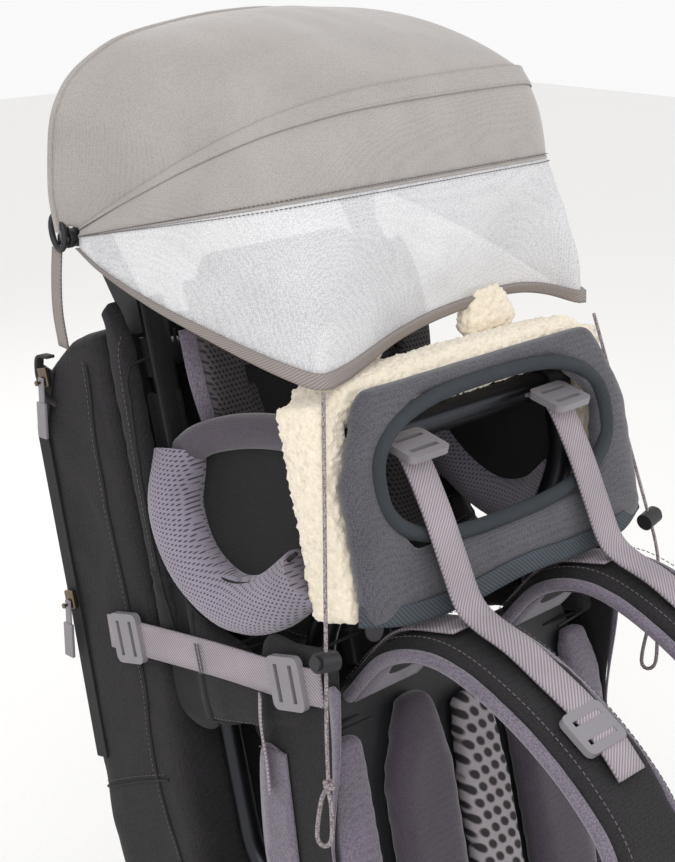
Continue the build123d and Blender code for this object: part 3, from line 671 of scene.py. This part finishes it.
@dataclass
class Canopy:
    """Sun canopy: a roof over two rods, a visor and a veil of net with a bound hem."""

    rear: Hoop = Hoop(112.0, both_sides([(-158, 6), (-165, 36), (-166, 79), (-161, 98), (-149, 114),
                                         (-125, 129), (-104, 136), (-74, 141), (-42, 145), (0, 147)]))
    brim: Hoop = Hoop(163.6, ((-149, 17), (-144, 65), (-131, 124), (-108, 168), (-83, 190), (-58, 203),
                              (-30, 210), (5, 214), (64, 217), (112, 212), (136, 176), (146, 120),
                              (149, 60), (150, 17)))
    seam: Hoop = Hoop(181.0, ((-152, 17), (-152, 70), (-150, 130), (-142, 172), (-122, 194), (-90, 202),
                              (-40, 206), (5, 207), (60, 208), (110, 209), (138, 190), (149, 150),
                              (151, 70), (151, 17)))
    hem: Hoop = Hoop(208.8, ((-153, 18), (-161, 56), (-163, 111), (-159, 153), (-153, 196), (-146, 228),
                             (-138, 243), (-117, 240), (-88, 230), (-44, 214), (1, 203), (53, 196),
                             (89, 192), (115, 196), (131, 208), (143, 229), (151, 196), (158, 153),
                             (162, 111), (160, 56), (153, 18)))
    cloth: float = 0.7

    def place(self, first: Hoop, second: Hoop, u: float, t: float, lift: float = 0.0) -> Vector:
        """A point of the cloth between two hoops.

        Args:
            first: The hoop where t is 0.
            second: The hoop where t is 1.
            u: The fraction along the hoops, from left to right.
            t: The fraction from the first hoop to the second.
            lift: How far out from the hinge it is lifted, in mm.

        Returns:
            The place in the world.
        """
        (xa, ra), (xb, rb) = first.point(u), second.point(u)
        angle = math.radians(first.angle + (second.angle - first.angle) * t)
        x, reach = xa + (xb - xa) * t, ra + (rb - ra) * t
        over = math.sin(math.pi * min(max(t, 0), 1))
        free = min(1.0, max(0.0, (reach - 20) / 60))
        if first is self.rear:
            ray = noise.noise(Vector((u * 16, t * 1.6, 2))) + 0.5 * noise.noise(Vector((u * 34, t * 2.2, 5)))
            soft = (-0.05 * over * reach + 1.5 * ray * (0.25 + t * (1 - t) * 3)) * free
        elif first is self.brim:
            soft = (4.0 * over + 1.1 * noise.noise(Vector((u * 20, t * 2, 9))) * over) * free
        else:
            drape = noise.noise(Vector((u * 7 + t * 1.6, t * 1.5, 4)))
            fold = 1 - abs(noise.noise(Vector((u * 9 - t * 2.4, t * 1.2, 8)))) * 2.6
            soft = (3.2 * drape + 2.2 * fold) * over * free
        out = Vector((x, reach, 0)).normalized() * (soft + lift)
        return PACK.at(x + out.x, PACK.hinge[0] + (reach + out.y) * math.cos(angle),
                       PACK.hinge[1] + (reach + out.y) * math.sin(angle))

    def sheet(self, name: str, first: Hoop, second: Hoop, size: Flat, finish: Finish, rows: int,
              part: Flat = (0.0, 1.0), lift: float = 0.0, thick: Optional[float] = None,
              across: int = 150) -> bpy.types.Object:
        """One panel, or a band of one, between two hoops."""
        low, high = part
        return surface(name, across, rows,
                       lambda u, v: self.place(first, second, u, low + (high - low) * v, lift),
                       size, finish, (self.cloth if thick is None else thick) * MM)

    def line(self, first: Hoop, second: Hoop, t: float, lift: float = 0.0, count: int = 140) -> list[Vector]:
        """A line over the cloth at a fraction t, from left to right."""
        return [self.place(first, second, i / count, t, lift) for i in range(count + 1)]

    def measure(self, first: Hoop, second: Hoop) -> tuple[float, float]:
        """A panel's mean width and depth over its surface, in metres."""
        width = sum(sum((b - a).length for a, b in zip(row, row[1:]))
                    for row in (self.line(first, second, t) for t in (0.0, 0.5, 1.0))) / 3
        depth = sum((self.place(first, second, u, i / 8) - self.place(first, second, u, (i + 1) / 8)).length
                    for u in (0.2, 0.35, 0.5, 0.65, 0.8) for i in range(8)) / 5
        return width, depth

    def build(self) -> None:
        """Make the cloth, the net, the hem, the seams and the anchors."""
        for name, first, second, finish, rows, node, slot in (
                ("canopy_roof_cloth", self.rear, self.brim, TAFFETA, 40, "canopy_roof", "canopy_cloth"),
                ("canopy_visor_cloth", self.brim, self.seam, TAFFETA, 16, "canopy_visor", "canopy_cloth"),
                ("canopy_net_veil", self.seam, self.hem, NET, 30, "canopy_mesh", "canopy_net")):
            size = self.measure(first, second)
            piece = self.sheet(name, first, second, size, finish, rows)
            if first is self.rear:
                self.blend(piece)
            else:
                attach(piece, "canopy_front")
            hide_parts(node)
            LOG.info("%s is %.0f by %.0f mm", name, size[0] * 1000, size[1] * 1000)
        self.trim()
        self.anchors()
        self.rods()

    def blend(self, piece: bpy.types.Object) -> None:
        """Bake the roof piece's transform into its mesh."""
        tuple(self.place(self.rear, self.brim, 0.5, 0.0))
        tuple(self.place(self.rear, self.brim, 0.5, 1.0))
        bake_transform(piece)

    def trim(self) -> None:
        """Rod sleeves, sewn seams and the bound hem."""
        binding = self.sheet("hem_binding", self.seam, self.hem, (0.9, 0.014), BINDING, 4, (0.93, 1.01),
                             0.5, 3.0, 260)
        ride(binding, "canopy_cloth", "canopy_front")
        for name, t in (("hem_stitch_inner", 0.945), ("hem_stitch_outer", 0.995)):
            line = self.line(self.seam, self.hem, t, 2.3)
            ride(stitches(name, line, PALE_THREAD, 3.4, 2.2, 0.5), "canopy_cloth", "canopy_front")
        sleeve = self.sheet("brim_sleeve", self.brim, self.seam, (0.8, 0.012), TAFFETA, 6, (-0.02, 0.2),
                            1.2, 1.0)
        ride(sleeve, "canopy_cloth", "canopy_front")
        for name, first, second, t in (("brim_stitch", self.brim, self.seam, 0.17),
                                       ("visor_stitch", self.brim, self.seam, 0.965),
                                       ("net_seam_stitch", self.seam, self.hem, 0.03)):
            line = self.line(first, second, t, 1.9)
            ride(stitches(name, line, THREAD, 3.0, 2.0, 0.55), "canopy_cloth", "canopy_front")
        ride(tube("seam_piping", self.line(self.seam, self.hem, 0.0, 0.6), 1.1, TAFFETA), "canopy_cloth",
             "canopy_front")
        ride(tube("rear_sleeve_edge", self.line(self.rear, self.brim, 0.0, 0.4), 2.2, TAFFETA),
             "canopy_cloth")

    def rods(self) -> None:
        """The two glass-fibre rods inside their sleeves, each with an eye on the hinge pin."""
        for name, first, second, body, node, eye_x in (
                ("rear_rod", self.rear, self.brim, "pack", "canopy_rear_rod", 149),
                ("brim_rod", self.brim, self.seam, "canopy_front", "canopy_front_rod", 141)):
            line = self.line(first, second, 0.0, -3.6, 90)[3:-3]
            eyes = [PACK.at(side * eye_x, *PACK.hinge) for _, side in SIDES]
            rod = tube(f"canopy_{name}_line", [eyes[0], *line, eyes[1]], 2.4, NYLON)
            ride(rod, "rod_fibre", body, node)
            for (tag, _), eye in zip(SIDES, eyes):
                bm = bmesh.new()
                turn = Matrix.Translation(eye) @ Matrix.Rotation(math.pi / 2, 4, "Y")
                bmesh.ops.create_cone(bm, cap_ends=True, segments=28, radius1=7 * MM, radius2=7 * MM,
                                      depth=5 * MM, matrix=turn)
                rims = [e for e in bm.edges if len(e.link_faces) == 2 and e.calc_face_angle() > 1]
                bmesh.ops.bevel(bm, geom=rims, offset=0.8 * MM, affect="EDGES", segments=3, profile=0.5,
                                material=-1)
                ride(finished(bm, f"{name}_eye_{tag}", NYLON), "rod_fibre", body)

    def anchors(self) -> None:
        """The grey tapes that hold the canopy's hinge down to the bag, with their black hooks."""
        for tag, side in SIDES:
            points = [PACK.at(side * 156, 158, 812), PACK.at(side * 158, 163, 792),
                      PACK.at(side * 157, 171, 768), PACK.at(side * 151, 181, 742)]
            tape = ribbon(f"anchor_tape_{tag}", points, 10, BINDING, 1.8, [PACK.along(0, 1, 0.2)])
            ride(tape, "webbing")
            hook = [PACK.at(side * 157, 151 + 7 * math.cos(a), 822 + 12 * math.sin(a))
                    for a in [math.radians(20 * i) for i in range(18)]]
            ride(tube(f"anchor_hook_{tag}", hook, 2.2, NYLON, True), "lug_plastic")


@dataclass
class TensionCords:
    """Elastic cords from the hem's corners through their locks to a knot and a pull loop."""

    diameter: float = 2.5
    length: float = 0.2442
    loop: float = 40.0
    route: tuple[Point, ...] = ((138.0, -63.5, 697.0), (155.0, -61.2, 616.0), (169.4, -59.3, 547.0),
                                (177.3, -58.3, 509.6), (178.8, -53.3, 483.6), (176.3, -45.8, 458.6))

    def curve_points(self, side: int) -> list[Vector]:
        """The cord's NURBS line on one side, from the hem's corner down to the knot."""
        curve = bpy.data.curves.new("cord_line", "CURVE")
        curve.dimensions = "3D"
        curve.resolution_u = 12
        spline = curve.splines.new("NURBS")
        spline.points.add(len(self.route) - 1)
        for target, (x, v, w) in zip(spline.points, self.route):
            target.co = (*PACK.at(side * x, v, w), 1)
        spline.order_u = 3
        spline.use_endpoint_u = True
        holder = bpy.data.objects.new("cord_line", curve)
        bpy.context.scene.collection.objects.link(holder)
        mesh = bpy.data.meshes.new_from_object(holder.evaluated_get(bpy.context.evaluated_depsgraph_get()))
        points = [vert.co.copy() for vert in mesh.vertices]
        bpy.data.objects.remove(holder)
        bpy.data.curves.remove(curve)
        bpy.data.meshes.remove(mesh)
        return points

    def build(self) -> None:
        """Make both cords with their knots and loops."""
        for tag, side in SIDES:
            points = self.curve_points(side)
            cord = tube(f"tension_cord_braid_{tag}", points, self.diameter / 2, BRAID)
            tuple(PACK.at(side * 172, -59, 545))
            tuple(PACK.at(side * 140, -63.5, 690))
            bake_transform(cord)
            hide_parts(f"tension_cord_{tag}")
            x, v, w = self.route[-1]
            knot = [PACK.at(side * (x + 2.6 * math.cos(a * 1.5)), v + 2.6 * math.sin(a * 1.5),
                            w - 1 - a * 0.55) for a in [0.35 * i for i in range(24)]]
            knot = ride(tube(f"cord_knot_{tag}", knot, 1.5, BRAID), "cord_elastic")
            low = w - 6 - self.loop
            drop = [(0, w - 5), (4.2, w - 14), (6.8, low + 12), (5.5, low + 3), (0, low), (-5.5, low + 3),
                    (-6.8, low + 12), (-4.2, w - 14)]
            eye = smooth_path([PACK.at(side * (x + 1), v + d + (w - h) * 0.32, h)
                               for d, h in [*drop, drop[0]]])
            loop = ride(tube(f"cord_loop_{tag}", eye[:-1], 1.5, BRAID, True), "cord_elastic")
            tuple(points[0])
            [tuple(p) for p in points]


# ---------------------------------------------------------------- padded sub-assemblies

@dataclass
class Upholstery:
    """Every padded or baggy piece of the pack, and what each is covered with."""

    shop: PadShop = field(default_factory=PadShop)

    def build(self) -> dict[str, bpy.types.Object]:
        """Swell all the pads.

        Returns:
            Each finished piece by its name.
        """
        rows = [
            Padded("rear_bag_shell", ("rear_bag",), PACK_CLOTH, "bag_weave", 6, 1.0, 1, 0.8, 0.5, 3.0, 70),
            Padded("bag_flank_shells", ("bag_flanks",), PACK_CLOTH, "bag_weave", 5, 1, 2, 2.5, 0.4, 2.2, 45),
            Padded("lower_bag_shell", ("lower_bag",), PACK_CLOTH, "bag_weave", 6, 1, 3, 4, 0.5, 4.5, 65),
            Padded("cockpit_side_panels", ("cockpit_sides",), PACK_CLOTH, "bag_weave", 4.5, 1.5, 2, 4, 0.4,
                   1.5, 45),
            Padded("backrest_cushion", ("backrest",), BLACK_CLOTH, "bag_weave", 6, 3, 4, 6, 0.6, 1.0, 60),
            Padded("headrest_cushion", ("headrest",), AUBERGINE, "pad_aubergine", 4, 2, 4, 5, 0.8),
            Padded("seat_cushion", ("seat_base",), BLACK_CLOTH, "bag_weave", 5, 3, 4, 6, 0.7, 1.0, 40),
            Padded("seat_skirt_panels", ("seat_skirts",), AIR_MESH, "air_mesh", 3, 0.5, 0, 3, 0.3),
            Padded("child_shoulder_pads", ("child_straps",), SEAT_MESH, "air_mesh", 4, 1.5, 3, 3, 0.7),
            Padded("back_cushions", ("back_pads",), AUBERGINE, "pad_aubergine", 5, 0.5, 3, 2.5, 0.8),
            Padded("lumbar_honeycomb", ("lumbar_pad",), HONEYCOMB, "mesh_honeycomb", 4, 0.5, 2, 2, 0.7),
            Padded("side_wing_cushions", ("wing_pads",), LAVENDER, "bag_weave", 4, 0.5, 2, 2, 0.7),
            Padded("face_pad_jersey", ("face_pad",), JERSEY, "pad_jersey", 4.5, 0.5, 3, 2.5, 0.7, 0.6, 50),
            Padded("face_pad_fleece", ("face_fleece",), FLEECE, "fleece", 3.6, 0.5, 3, 4, 0.8, 0.0, 60, 2.0,
                   (((134, -41, 660), (24, 40, 60)), ((-134, -41, 660), (24, 40, 60)))),
            Padded("fleece_ear_pads", ("fleece_ears",), FLEECE, "fleece", 3.2, -1.5, 3, 3, 0.8, 0.0, 60, 2.0),
            Padded("shoulder_pad_left", ("shoulder_strap_left",), PACK_CLOTH, "strap_weave", 5, 1, 3, 2.5),
            Padded("shoulder_pad_right", ("shoulder_strap_right",), PACK_CLOTH, "strap_weave", 5, 1, 3, 2.5),
            Padded("hip_pad_left", ("hip_wing_left",), PACK_CLOTH, "strap_weave", 5, 1, 3, 3),
            Padded("hip_pad_right", ("hip_wing_right",), PACK_CLOTH, "strap_weave", 5, 1, 3, 3),
        ]
        self.shop.pads.extend(rows)
        self.shop.run()
        return {row.name: row.piece for row in rows}


@dataclass
class SideDetails:
    """Sleeves, panels, seams, compression straps and grab loops on the pack's two sides."""

    strap_width: float = 25.0
    strap_x: float = 153.4

    def sleeves(self, side: Side) -> None:
        """The black side sleeve with its lavender panels, and a darker panel of painted shade behind the
        cockpit.
        """
        base = side.panel("side_sleeve_cloth", [(-44, 533), (-10, 535), (24, 536), (46, 470), (66, 386),
                                                (60, 341), (24, 340), (-8, 340), (-8, 394), (-30, 470)],
                          PACK_CLOTH, 0.2, 1.2, 148)
        ride(base, "bag_weave")
        edge = side.panel("sleeve_edge_panel", [(-42, 506), (-33, 509), (-26, 470), (-14, 420), (-6, 392),
                                                (-7, 344), (-8, 394), (-31, 462)], LAVENDER, 2.0, 1.4, 149)
        ride(edge, "air_mesh")
        # Darker black panel laid over the bag's side behind the cockpit: painted shade standing in for the
        # shadow there.
        gusset = side.panel("cockpit_painted_shade_panel", [(98, 566), (134, 578), (139, 530), (138, 474), (98, 470)],
                            BLACK_CLOTH, 1.0, 2.0, 140)
        ride(gusset, "bag_weave")
        lower = side.panel("sleeve_lower_panel", [(22, 457), (46, 459), (62, 388), (58, 346), (36, 346)],
                           LAVENDER, 2.0, 1.4, 149)
        ride(lower, "air_mesh")
        line = side.line([(22, 459), (34, 461), (47, 461)], 3.2, least=149)
        ride(stitches(f"sleeve_stitch_{side.tag}", line), "bag_weave")

    def seams(self, side: Side) -> None:
        """Piped and topstitched seams over the bag's side."""
        runs = {
            "flank_front_seam": [(120, 522), (124, 600), (120, 700), (117, 742)],
            "bag_gusset_seam": [(160, 338), (172, 420), (166, 520), (168, 640), (160, 728)],
            "pocket_top_seam": [(160, 421), (200, 414), (250, 402)],
            "cockpit_seam": [(-14, 470), (40, 470), (108, 471)],
            "cockpit_curve_seam": [(-14, 528), (38, 519), (80, 536), (104, 560)],
            "lower_bag_seam": [(60, 300), (130, 296), (200, 280), (238, 262)],
            "lower_bag_rise": [(60, 120), (72, 200), (66, 290)],
        }
        for name, run in runs.items():
            line = side.line(run, 0.5)
            ride(tube(f"{name}_{side.tag}", line, 1.1, BLACK_CLOTH), "bag_weave")
            offset = side.line([(v + 3.5, w + 3.5) for v, w in run], 0.4)
            ride(stitches(f"{name}_stitch_{side.tag}", offset, THREAD, 4.0, 2.4, 0.45), "bag_weave")

    def compression(self, side: Side, first: bool) -> None:
        """The mauve compression strap with its sewn bar and its loose tail."""
        x = side.sign * self.strap_x
        up = [PACK.along(0, 0.11, 1)]
        main = ribbon(f"compression_webbing_{side.tag}",
                      [PACK.at(x, 191, 533), PACK.at(x + side.sign * 1.5, 160, 530),
                       PACK.at(x, 120, 525), PACK.at(x - side.sign * 0.6, 70, 519),
                       PACK.at(x + side.sign * 1.2, 4, 511), PACK.at(x, -28, 508)],
                      self.strap_width, WEBBING, 2.0, up)
        ride(main, "webbing", "pack", *(["compression_straps"] if first else []))
        for number, v in enumerate((88, 91)):
            bar = [PACK.at(x + side.sign * 1.6, v, 531 - i * 2.2) for i in range(11)]
            ride(stitches(f"strap_bar_{number}_{side.tag}", bar, THREAD, 2.6, 2.4, 0.9), "webbing")
        tail = ribbon(f"compression_tail_{side.tag}",
                      [PACK.at(x + side.sign * 2.2, 30, 500), PACK.at(x + side.sign * 3.0, 34, 478),
                       PACK.at(x + side.sign * 1.5, 37, 452), PACK.at(x + side.sign * 2.5, 39, 430)],
                      10, WEBBING, 1.4, [PACK.along(0.6, 0.8, 0)])
        ride(tail, "webbing")

    def grab_loop(self, side: Side) -> None:
        """The black webbing loop at the bag's top corner."""
        x = side.sign * 150
        points = [PACK.at(x, 200, 737), PACK.at(x, 214, 738), PACK.at(x, 219, 722), PACK.at(x, 212, 706),
                  PACK.at(x, 203, 700)]
        ride(ribbon(f"grab_loop_{side.tag}", points, 7, DARK_WEBBING, 2.0, [Vector((1, 0, 0))], 3.0),
             "webbing")

    def build(self, pieces: dict[str, bpy.types.Object]) -> None:
        """Dress both sides of the pack."""
        shells = [pieces[n] for n in ("rear_bag_shell", "bag_flank_shells", "lower_bag_shell",
                                      "cockpit_side_panels", "side_wing_cushions")]
        tree = shown_surface(shells)
        for number, sign in enumerate((-1, 1)):
            side = Side(sign, tree)
            self.sleeves(side)
            self.seams(side)
            self.compression(side, number == 0)
            self.grab_loop(side)
        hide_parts("side_sleeves")


def beside(path: Sequence[Flat], x: float, off: float) -> list[Vector]:
    """A line at x beside a (v, w) path, off mm out from the wearer."""
    ends = [path[0], *path, path[-1]]
    points = []
    for before, (v, w), after in zip(ends, path, ends[2:]):
        along = Vector((after[0] - before[0], after[1] - before[1])).normalized()
        points.append(PACK.at(x, v + along.y * off, w - along.x * off))
    return points


@dataclass
class Harness:
    """Shoulder straps, load lifters, chest strap and hip belt."""

    strap_x: float = 80.0
    half: float = 33.0
    path: tuple[Flat, ...] = ((-6, 490), (-48, 519), (-96, 521), (-146, 492), (-190, 446), (-212, 398),
                              (-207, 330), (-180, 264))
    lifter: tuple[Flat, ...] = ((-50, 652), (-66, 646), (-79, 610), (-87, 575), (-94, 546), (-106, 533),
                                (-130, 519), (-152, 501), (-172, 484), (-190, 465), (-203, 444))
    tail: tuple[Flat, ...] = ((-180, 262), (-150, 235), (-110, 200), (-66, 182), (-24, 168))

    def shoulder(self, tag: str, side: int, first: bool) -> None:
        """One strap's lavender lining and edges, and its webbing."""
        x = side * self.strap_x
        ride(ribbon(f"strap_lining_{tag}", beside(self.path, x, -8.2), 62, LAVENDER, 3.0), "strap_weave")
        for name, edge in (("inner", -self.half), ("outer", self.half)):
            line = smooth_path(beside(self.path, x + edge, -3.0))
            ride(tube(f"strap_piping_{name}_{tag}", line, 4.6, LAVENDER), "strap_weave")
            row = smooth_path(beside(self.path, x + edge * 0.82, 8.6))
            ride(stitches(f"strap_stitch_{name}_{tag}", row, THREAD, 4.2, 2.6, 0.5), "strap_weave")
        lift = ribbon(f"lifter_webbing_{tag}", [PACK.at(side * 76, v, w) for v, w in self.lifter], 25,
                      WEBBING, 2.0)
        ride(lift, "webbing", "pack", *(["strap_webbing"] if first else []))
        low = ribbon(f"strap_tail_{tag}", [PACK.at(x, v, w) for v, w in self.tail], 25, WEBBING, 2.0)
        ride(low, "webbing")
        root = ribbon(f"strap_crown_webbing_{tag}", beside(self.path[:3], x, 10.0), 30, WEBBING, 1.8)
        ride(root, "webbing")

    def copied(self, name: str, node: str, finish: Finish, slot: str) -> None:
        """Webbing whose run the frame already gives, softened and given its weave."""
        bm = bmesh.new()
        bm.from_mesh(frame["nodes"][node].data)
        bmesh.ops.remove_doubles(bm, verts=bm.verts, dist=0.02 * MM)
        bmesh.ops.dissolve_limit(bm, angle_limit=math.radians(1), verts=bm.verts, edges=bm.edges)
        bmesh.ops.recalc_face_normals(bm, faces=bm.faces)
        sharp = [e for e in bm.edges if len(e.link_faces) == 2 and e.calc_face_angle() > 0.7]
        bmesh.ops.bevel(bm, geom=sharp, offset=0.5 * MM, affect="EDGES", segments=2, profile=0.5, material=-1,
                        clamp_overlap=True)
        uv = bm.loops.layers.uv.new("UVMap")
        for face in bm.faces:
            for loop in face.loops:
                loop[uv].uv = (loop.vert.co.z, loop.vert.co.x + loop.vert.co.y)
        ride(finished(bm, name, finish), slot, "pack", node)

    def build(self) -> None:
        """Dress both straps, the chest strap and the hip belt."""
        for number, (tag, side) in enumerate(SIDES):
            self.shoulder(tag, side, number == 0)
        self.copied("chest_strap_webbing", "chest_webbing", WEBBING, "webbing")
        self.copied("hip_belt_webbing", "hip_webbing", DARK_WEBBING, "webbing")


@dataclass
class FacePadTrim:
    """Slate bindings round the face pad's window and along its hem."""

    window: tuple[float, float, float] = (114.0, 631.5, 47.5)
    front: float = -77.5

    def build(self) -> None:
        """Make the window's ring and the hem's binding."""
        half, middle, tall = self.window
        ring = []
        for i in range(96):
            a = math.tau * i / 96
            c, s = math.cos(a), math.sin(a)
            x = half * abs(c) ** 0.72 * (1 if c > 0 else -1)
            w = middle + tall * abs(s) ** 0.8 * (1 if s > 0 else -1)
            ring.append(PACK.at(x * 1.03, self.front + 1.5, w))
        ride(tube("window_binding", ring, 5.2, SLATE, True, 3), "pad_jersey")
        hem = [(-146, -67, 556), (-110, -76, 548), (-60, -78, 546), (0, -78.5, 549), (60, -78, 546),
               (110, -76, 548), (146, -67, 556)]
        line = [PACK.at(*p) for p in hem]
        ride(ribbon("face_pad_hem", line, 13, SLATE, 3.0, [PACK.along(0, 0, 1)]), "pad_jersey")
        row = smooth_path([PACK.at(x, v - 2.2, w + 4.5) for x, v, w in hem])
        ride(stitches("face_pad_hem_stitch", row, THREAD, 3.6, 2.2, 0.5), "pad_jersey")


@dataclass
class SeatCollar:
    """The child's padded side wings: a fat lavender roll below, a slimmer one above, dark cloth between."""

    roll: float = 20.0
    band: float = 12.0
    low: tuple[Point, ...] = ((136, -16, 578), (142, 18, 560), (143, 55, 560), (142, 88, 584),
                              (136, 106, 622), (122, 106, 658))
    high: tuple[Point, ...] = ((116, -34, 660), (114, 10, 668), (116, 50, 670), (120, 84, 666),
                               (122, 106, 656))

    def build(self) -> None:
        """Make both sides."""
        for number, (tag, side) in enumerate(SIDES):
            low = smooth_path([PACK.at(side * x, v, w) for x, v, w in self.low], 6 * MM)
            high = smooth_path([PACK.at(side * x, v, w) for x, v, w in self.high], 6 * MM)
            roll = tube(f"collar_roll_{tag}", low, self.roll, AIR_MESH, sides=6)
            ride(roll, "air_mesh", "pack", *(["rim_pads"] if number == 0 else []))
            band = tube(f"collar_band_{tag}", high, self.band, AUBERGINE, sides=5)
            ride(band, "pad_aubergine")

            def place(u: float, v: float) -> Vector:
                """The lining's point at u along the rolls and v from the lower to the upper."""
                point = at_fraction(low, u).lerp(at_fraction(high, u), v)
                return point - Vector((side * 9 * MM * math.sin(math.pi * v), 0, 0))

            inner = surface(f"collar_lining_{tag}", 24, 12, place, (0.2, 0.09), BLACK_CLOTH, 3 * MM)
            ride(inner, "bag_weave")
            piping = smooth_path([PACK.at(side * (x + 8), v - 2, w + 17) for x, v, w in self.low[:-1]],
                                 6 * MM)
            ride(tube(f"collar_piping_{tag}", piping, 1.6, BLACK_CLOTH), "bag_weave")
            cover = [PACK.at(side * 112, 127, w) for w in range(496, 712, 12)]
            ride(tube(f"seat_tube_sleeve_{tag}", cover, 12.5, PACK_CLOTH, sides=5), "bag_weave")
            gusset = ribbon(f"back_gusset_{tag}", [PACK.at(side * 119, 113, w) for w in (552, 620, 690, 768)],
                            34, BLACK_CLOTH, 2.0, [PACK.along(1, 0.5, 0)])
            ride(gusset, "bag_weave")
            upper = [PACK.at(side * 92, 92, 772), PACK.at(side * 95, 84, 744), PACK.at(side * 95, 82, 700),
                     PACK.at(side * 88, 84, 660)]
            pad = ribbon(f"child_upper_pad_{tag}", upper, 34, SEAT_MESH, 10)
            smooth = pad.modifiers.new("Smooth", "SUBSURF")
            smooth.levels = smooth.render_levels = 1
            applied(pad)
            ride(pad, "air_mesh")
            edge = [PACK.at(side * 110, 88, 742), PACK.at(side * 112, 84, 704), PACK.at(side * 104, 86, 664)]
            edging = ribbon(f"child_pad_edge_{tag}", edge, 16, LAVENDER, 6, [PACK.along(side, 0.8, 0)])
            ride(edging, "air_mesh")


@dataclass
class HardParts:
    """Finishes for the frame, the stand, the buckles and the zips, whose shapes are already right."""

    dressed: dict[str, Finish] = field(default_factory=lambda: {
        **dict.fromkeys(("frame_uprights", "frame_cross_bars", "seat_tubes", "kickstand_tube"), TUBE),
        **dict.fromkeys(("frame_lugs", "stand_hubs", "canopy_brackets", "back_plate", "cord_lock_barrels",
                         "cord_plunger_left", "cord_plunger_right",
                         "child_buckle"), NYLON),
        **dict.fromkeys(("base_feet", "kickstand_feet"), RUBBER),
        **dict.fromkeys(("ladder_locks", "chest_buckle_socket", "chest_buckle_plug", "hip_buckle_socket",
                         "hip_buckle_plug", "zip_pull_upper", "zip_pull_lower"), ACETAL),
        **dict.fromkeys(("stand_button_left", "stand_button_right", "child_buckle_button"), BUTTON),
        **dict.fromkeys(("zip_slider_upper", "zip_slider_lower"), ZIP_METAL),
        "pivot_pins": STEEL, "zip_track": ZIP_TAPE})

    def build(self) -> None:
        """Assign each node's finish."""
        for name, finish in self.dressed.items():
            node = frame["nodes"][name]
            if not node.material_slots:
                node.data.materials.append(finish.build())
            for slot in node.material_slots:
                slot.material = finish.build()
            LOG.info("%s has %s", name, finish.name)


@dataclass
class Studio:
    """A pale floor, soft lights and the camera."""

    eye: Point = (-0.8385, -0.6975, 0.9925)
    target: Point = (-0.0159, 0.1137, 0.6127)
    lens: float = 70.7

    def light(self, name: str, place: Point, size: float, power: float) -> None:
        """One large soft lamp aimed at the pack."""
        lamp = bpy.data.lights.new(name, "AREA")
        lamp.size = size
        lamp.energy = power
        holder = bpy.data.objects.new(name, lamp)
        holder.location = place
        holder.rotation_euler = (Vector((0, 0, 0.5)) - Vector(place)).to_track_quat("-Z", "Y").to_euler()
        bpy.context.scene.collection.objects.link(holder)

    def build(self) -> None:
        """Place everything."""
        bm = bmesh.new()
        bmesh.ops.create_grid(bm, x_segments=2, y_segments=2, size=6)
        floor = finished(bm, "studio_floor", Finish("pale_floor", "#f4f3f1", "#efeeec", Pattern.GRAIN, 6,
                                                    0.01, 0.9, blotch=0.0))
        bpy.context.scene.view_settings.view_transform = "Standard"
        world = bpy.data.worlds.new("studio")
        bpy.context.scene.world = world
        world.use_nodes = True
        sky = world.node_tree.nodes["Background"]
        sky.inputs["Color"].default_value = (1, 1, 1, 1)
        sky.inputs["Strength"].default_value = 0.95
        self.light("key", (-1.6, -1.4, 2.2), 1.6, 20)
        self.light("fill", (1.6, -1.8, 1.4), 2.0, 6)
        self.light("rim", (0.6, 2.0, 1.8), 1.6, 9)
        camera = bpy.data.cameras.new("camera")
        camera.lens = self.lens
        camera.sensor_width = 36
        holder = bpy.data.objects.new("camera", camera)
        holder.location = self.eye
        way = Vector(self.target) - Vector(self.eye)
        holder.rotation_euler = way.to_track_quat("-Z", "Y").to_euler()
        bpy.context.scene.collection.objects.link(holder)
        bpy.context.scene.camera = holder


def main() -> None:
    """Build the pack's sub-assemblies in order."""
    logging.basicConfig(level=logging.INFO, format="%(message)s")
    Studio().build()
    TensionCords().build()
    HardParts().build()
    pieces = Upholstery().build()
    SideDetails().build(pieces)
    Harness().build()
    FacePadTrim().build()
    SeatCollar().build()
    Canopy().build()
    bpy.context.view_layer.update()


if __name__ == "__main__":
    main()
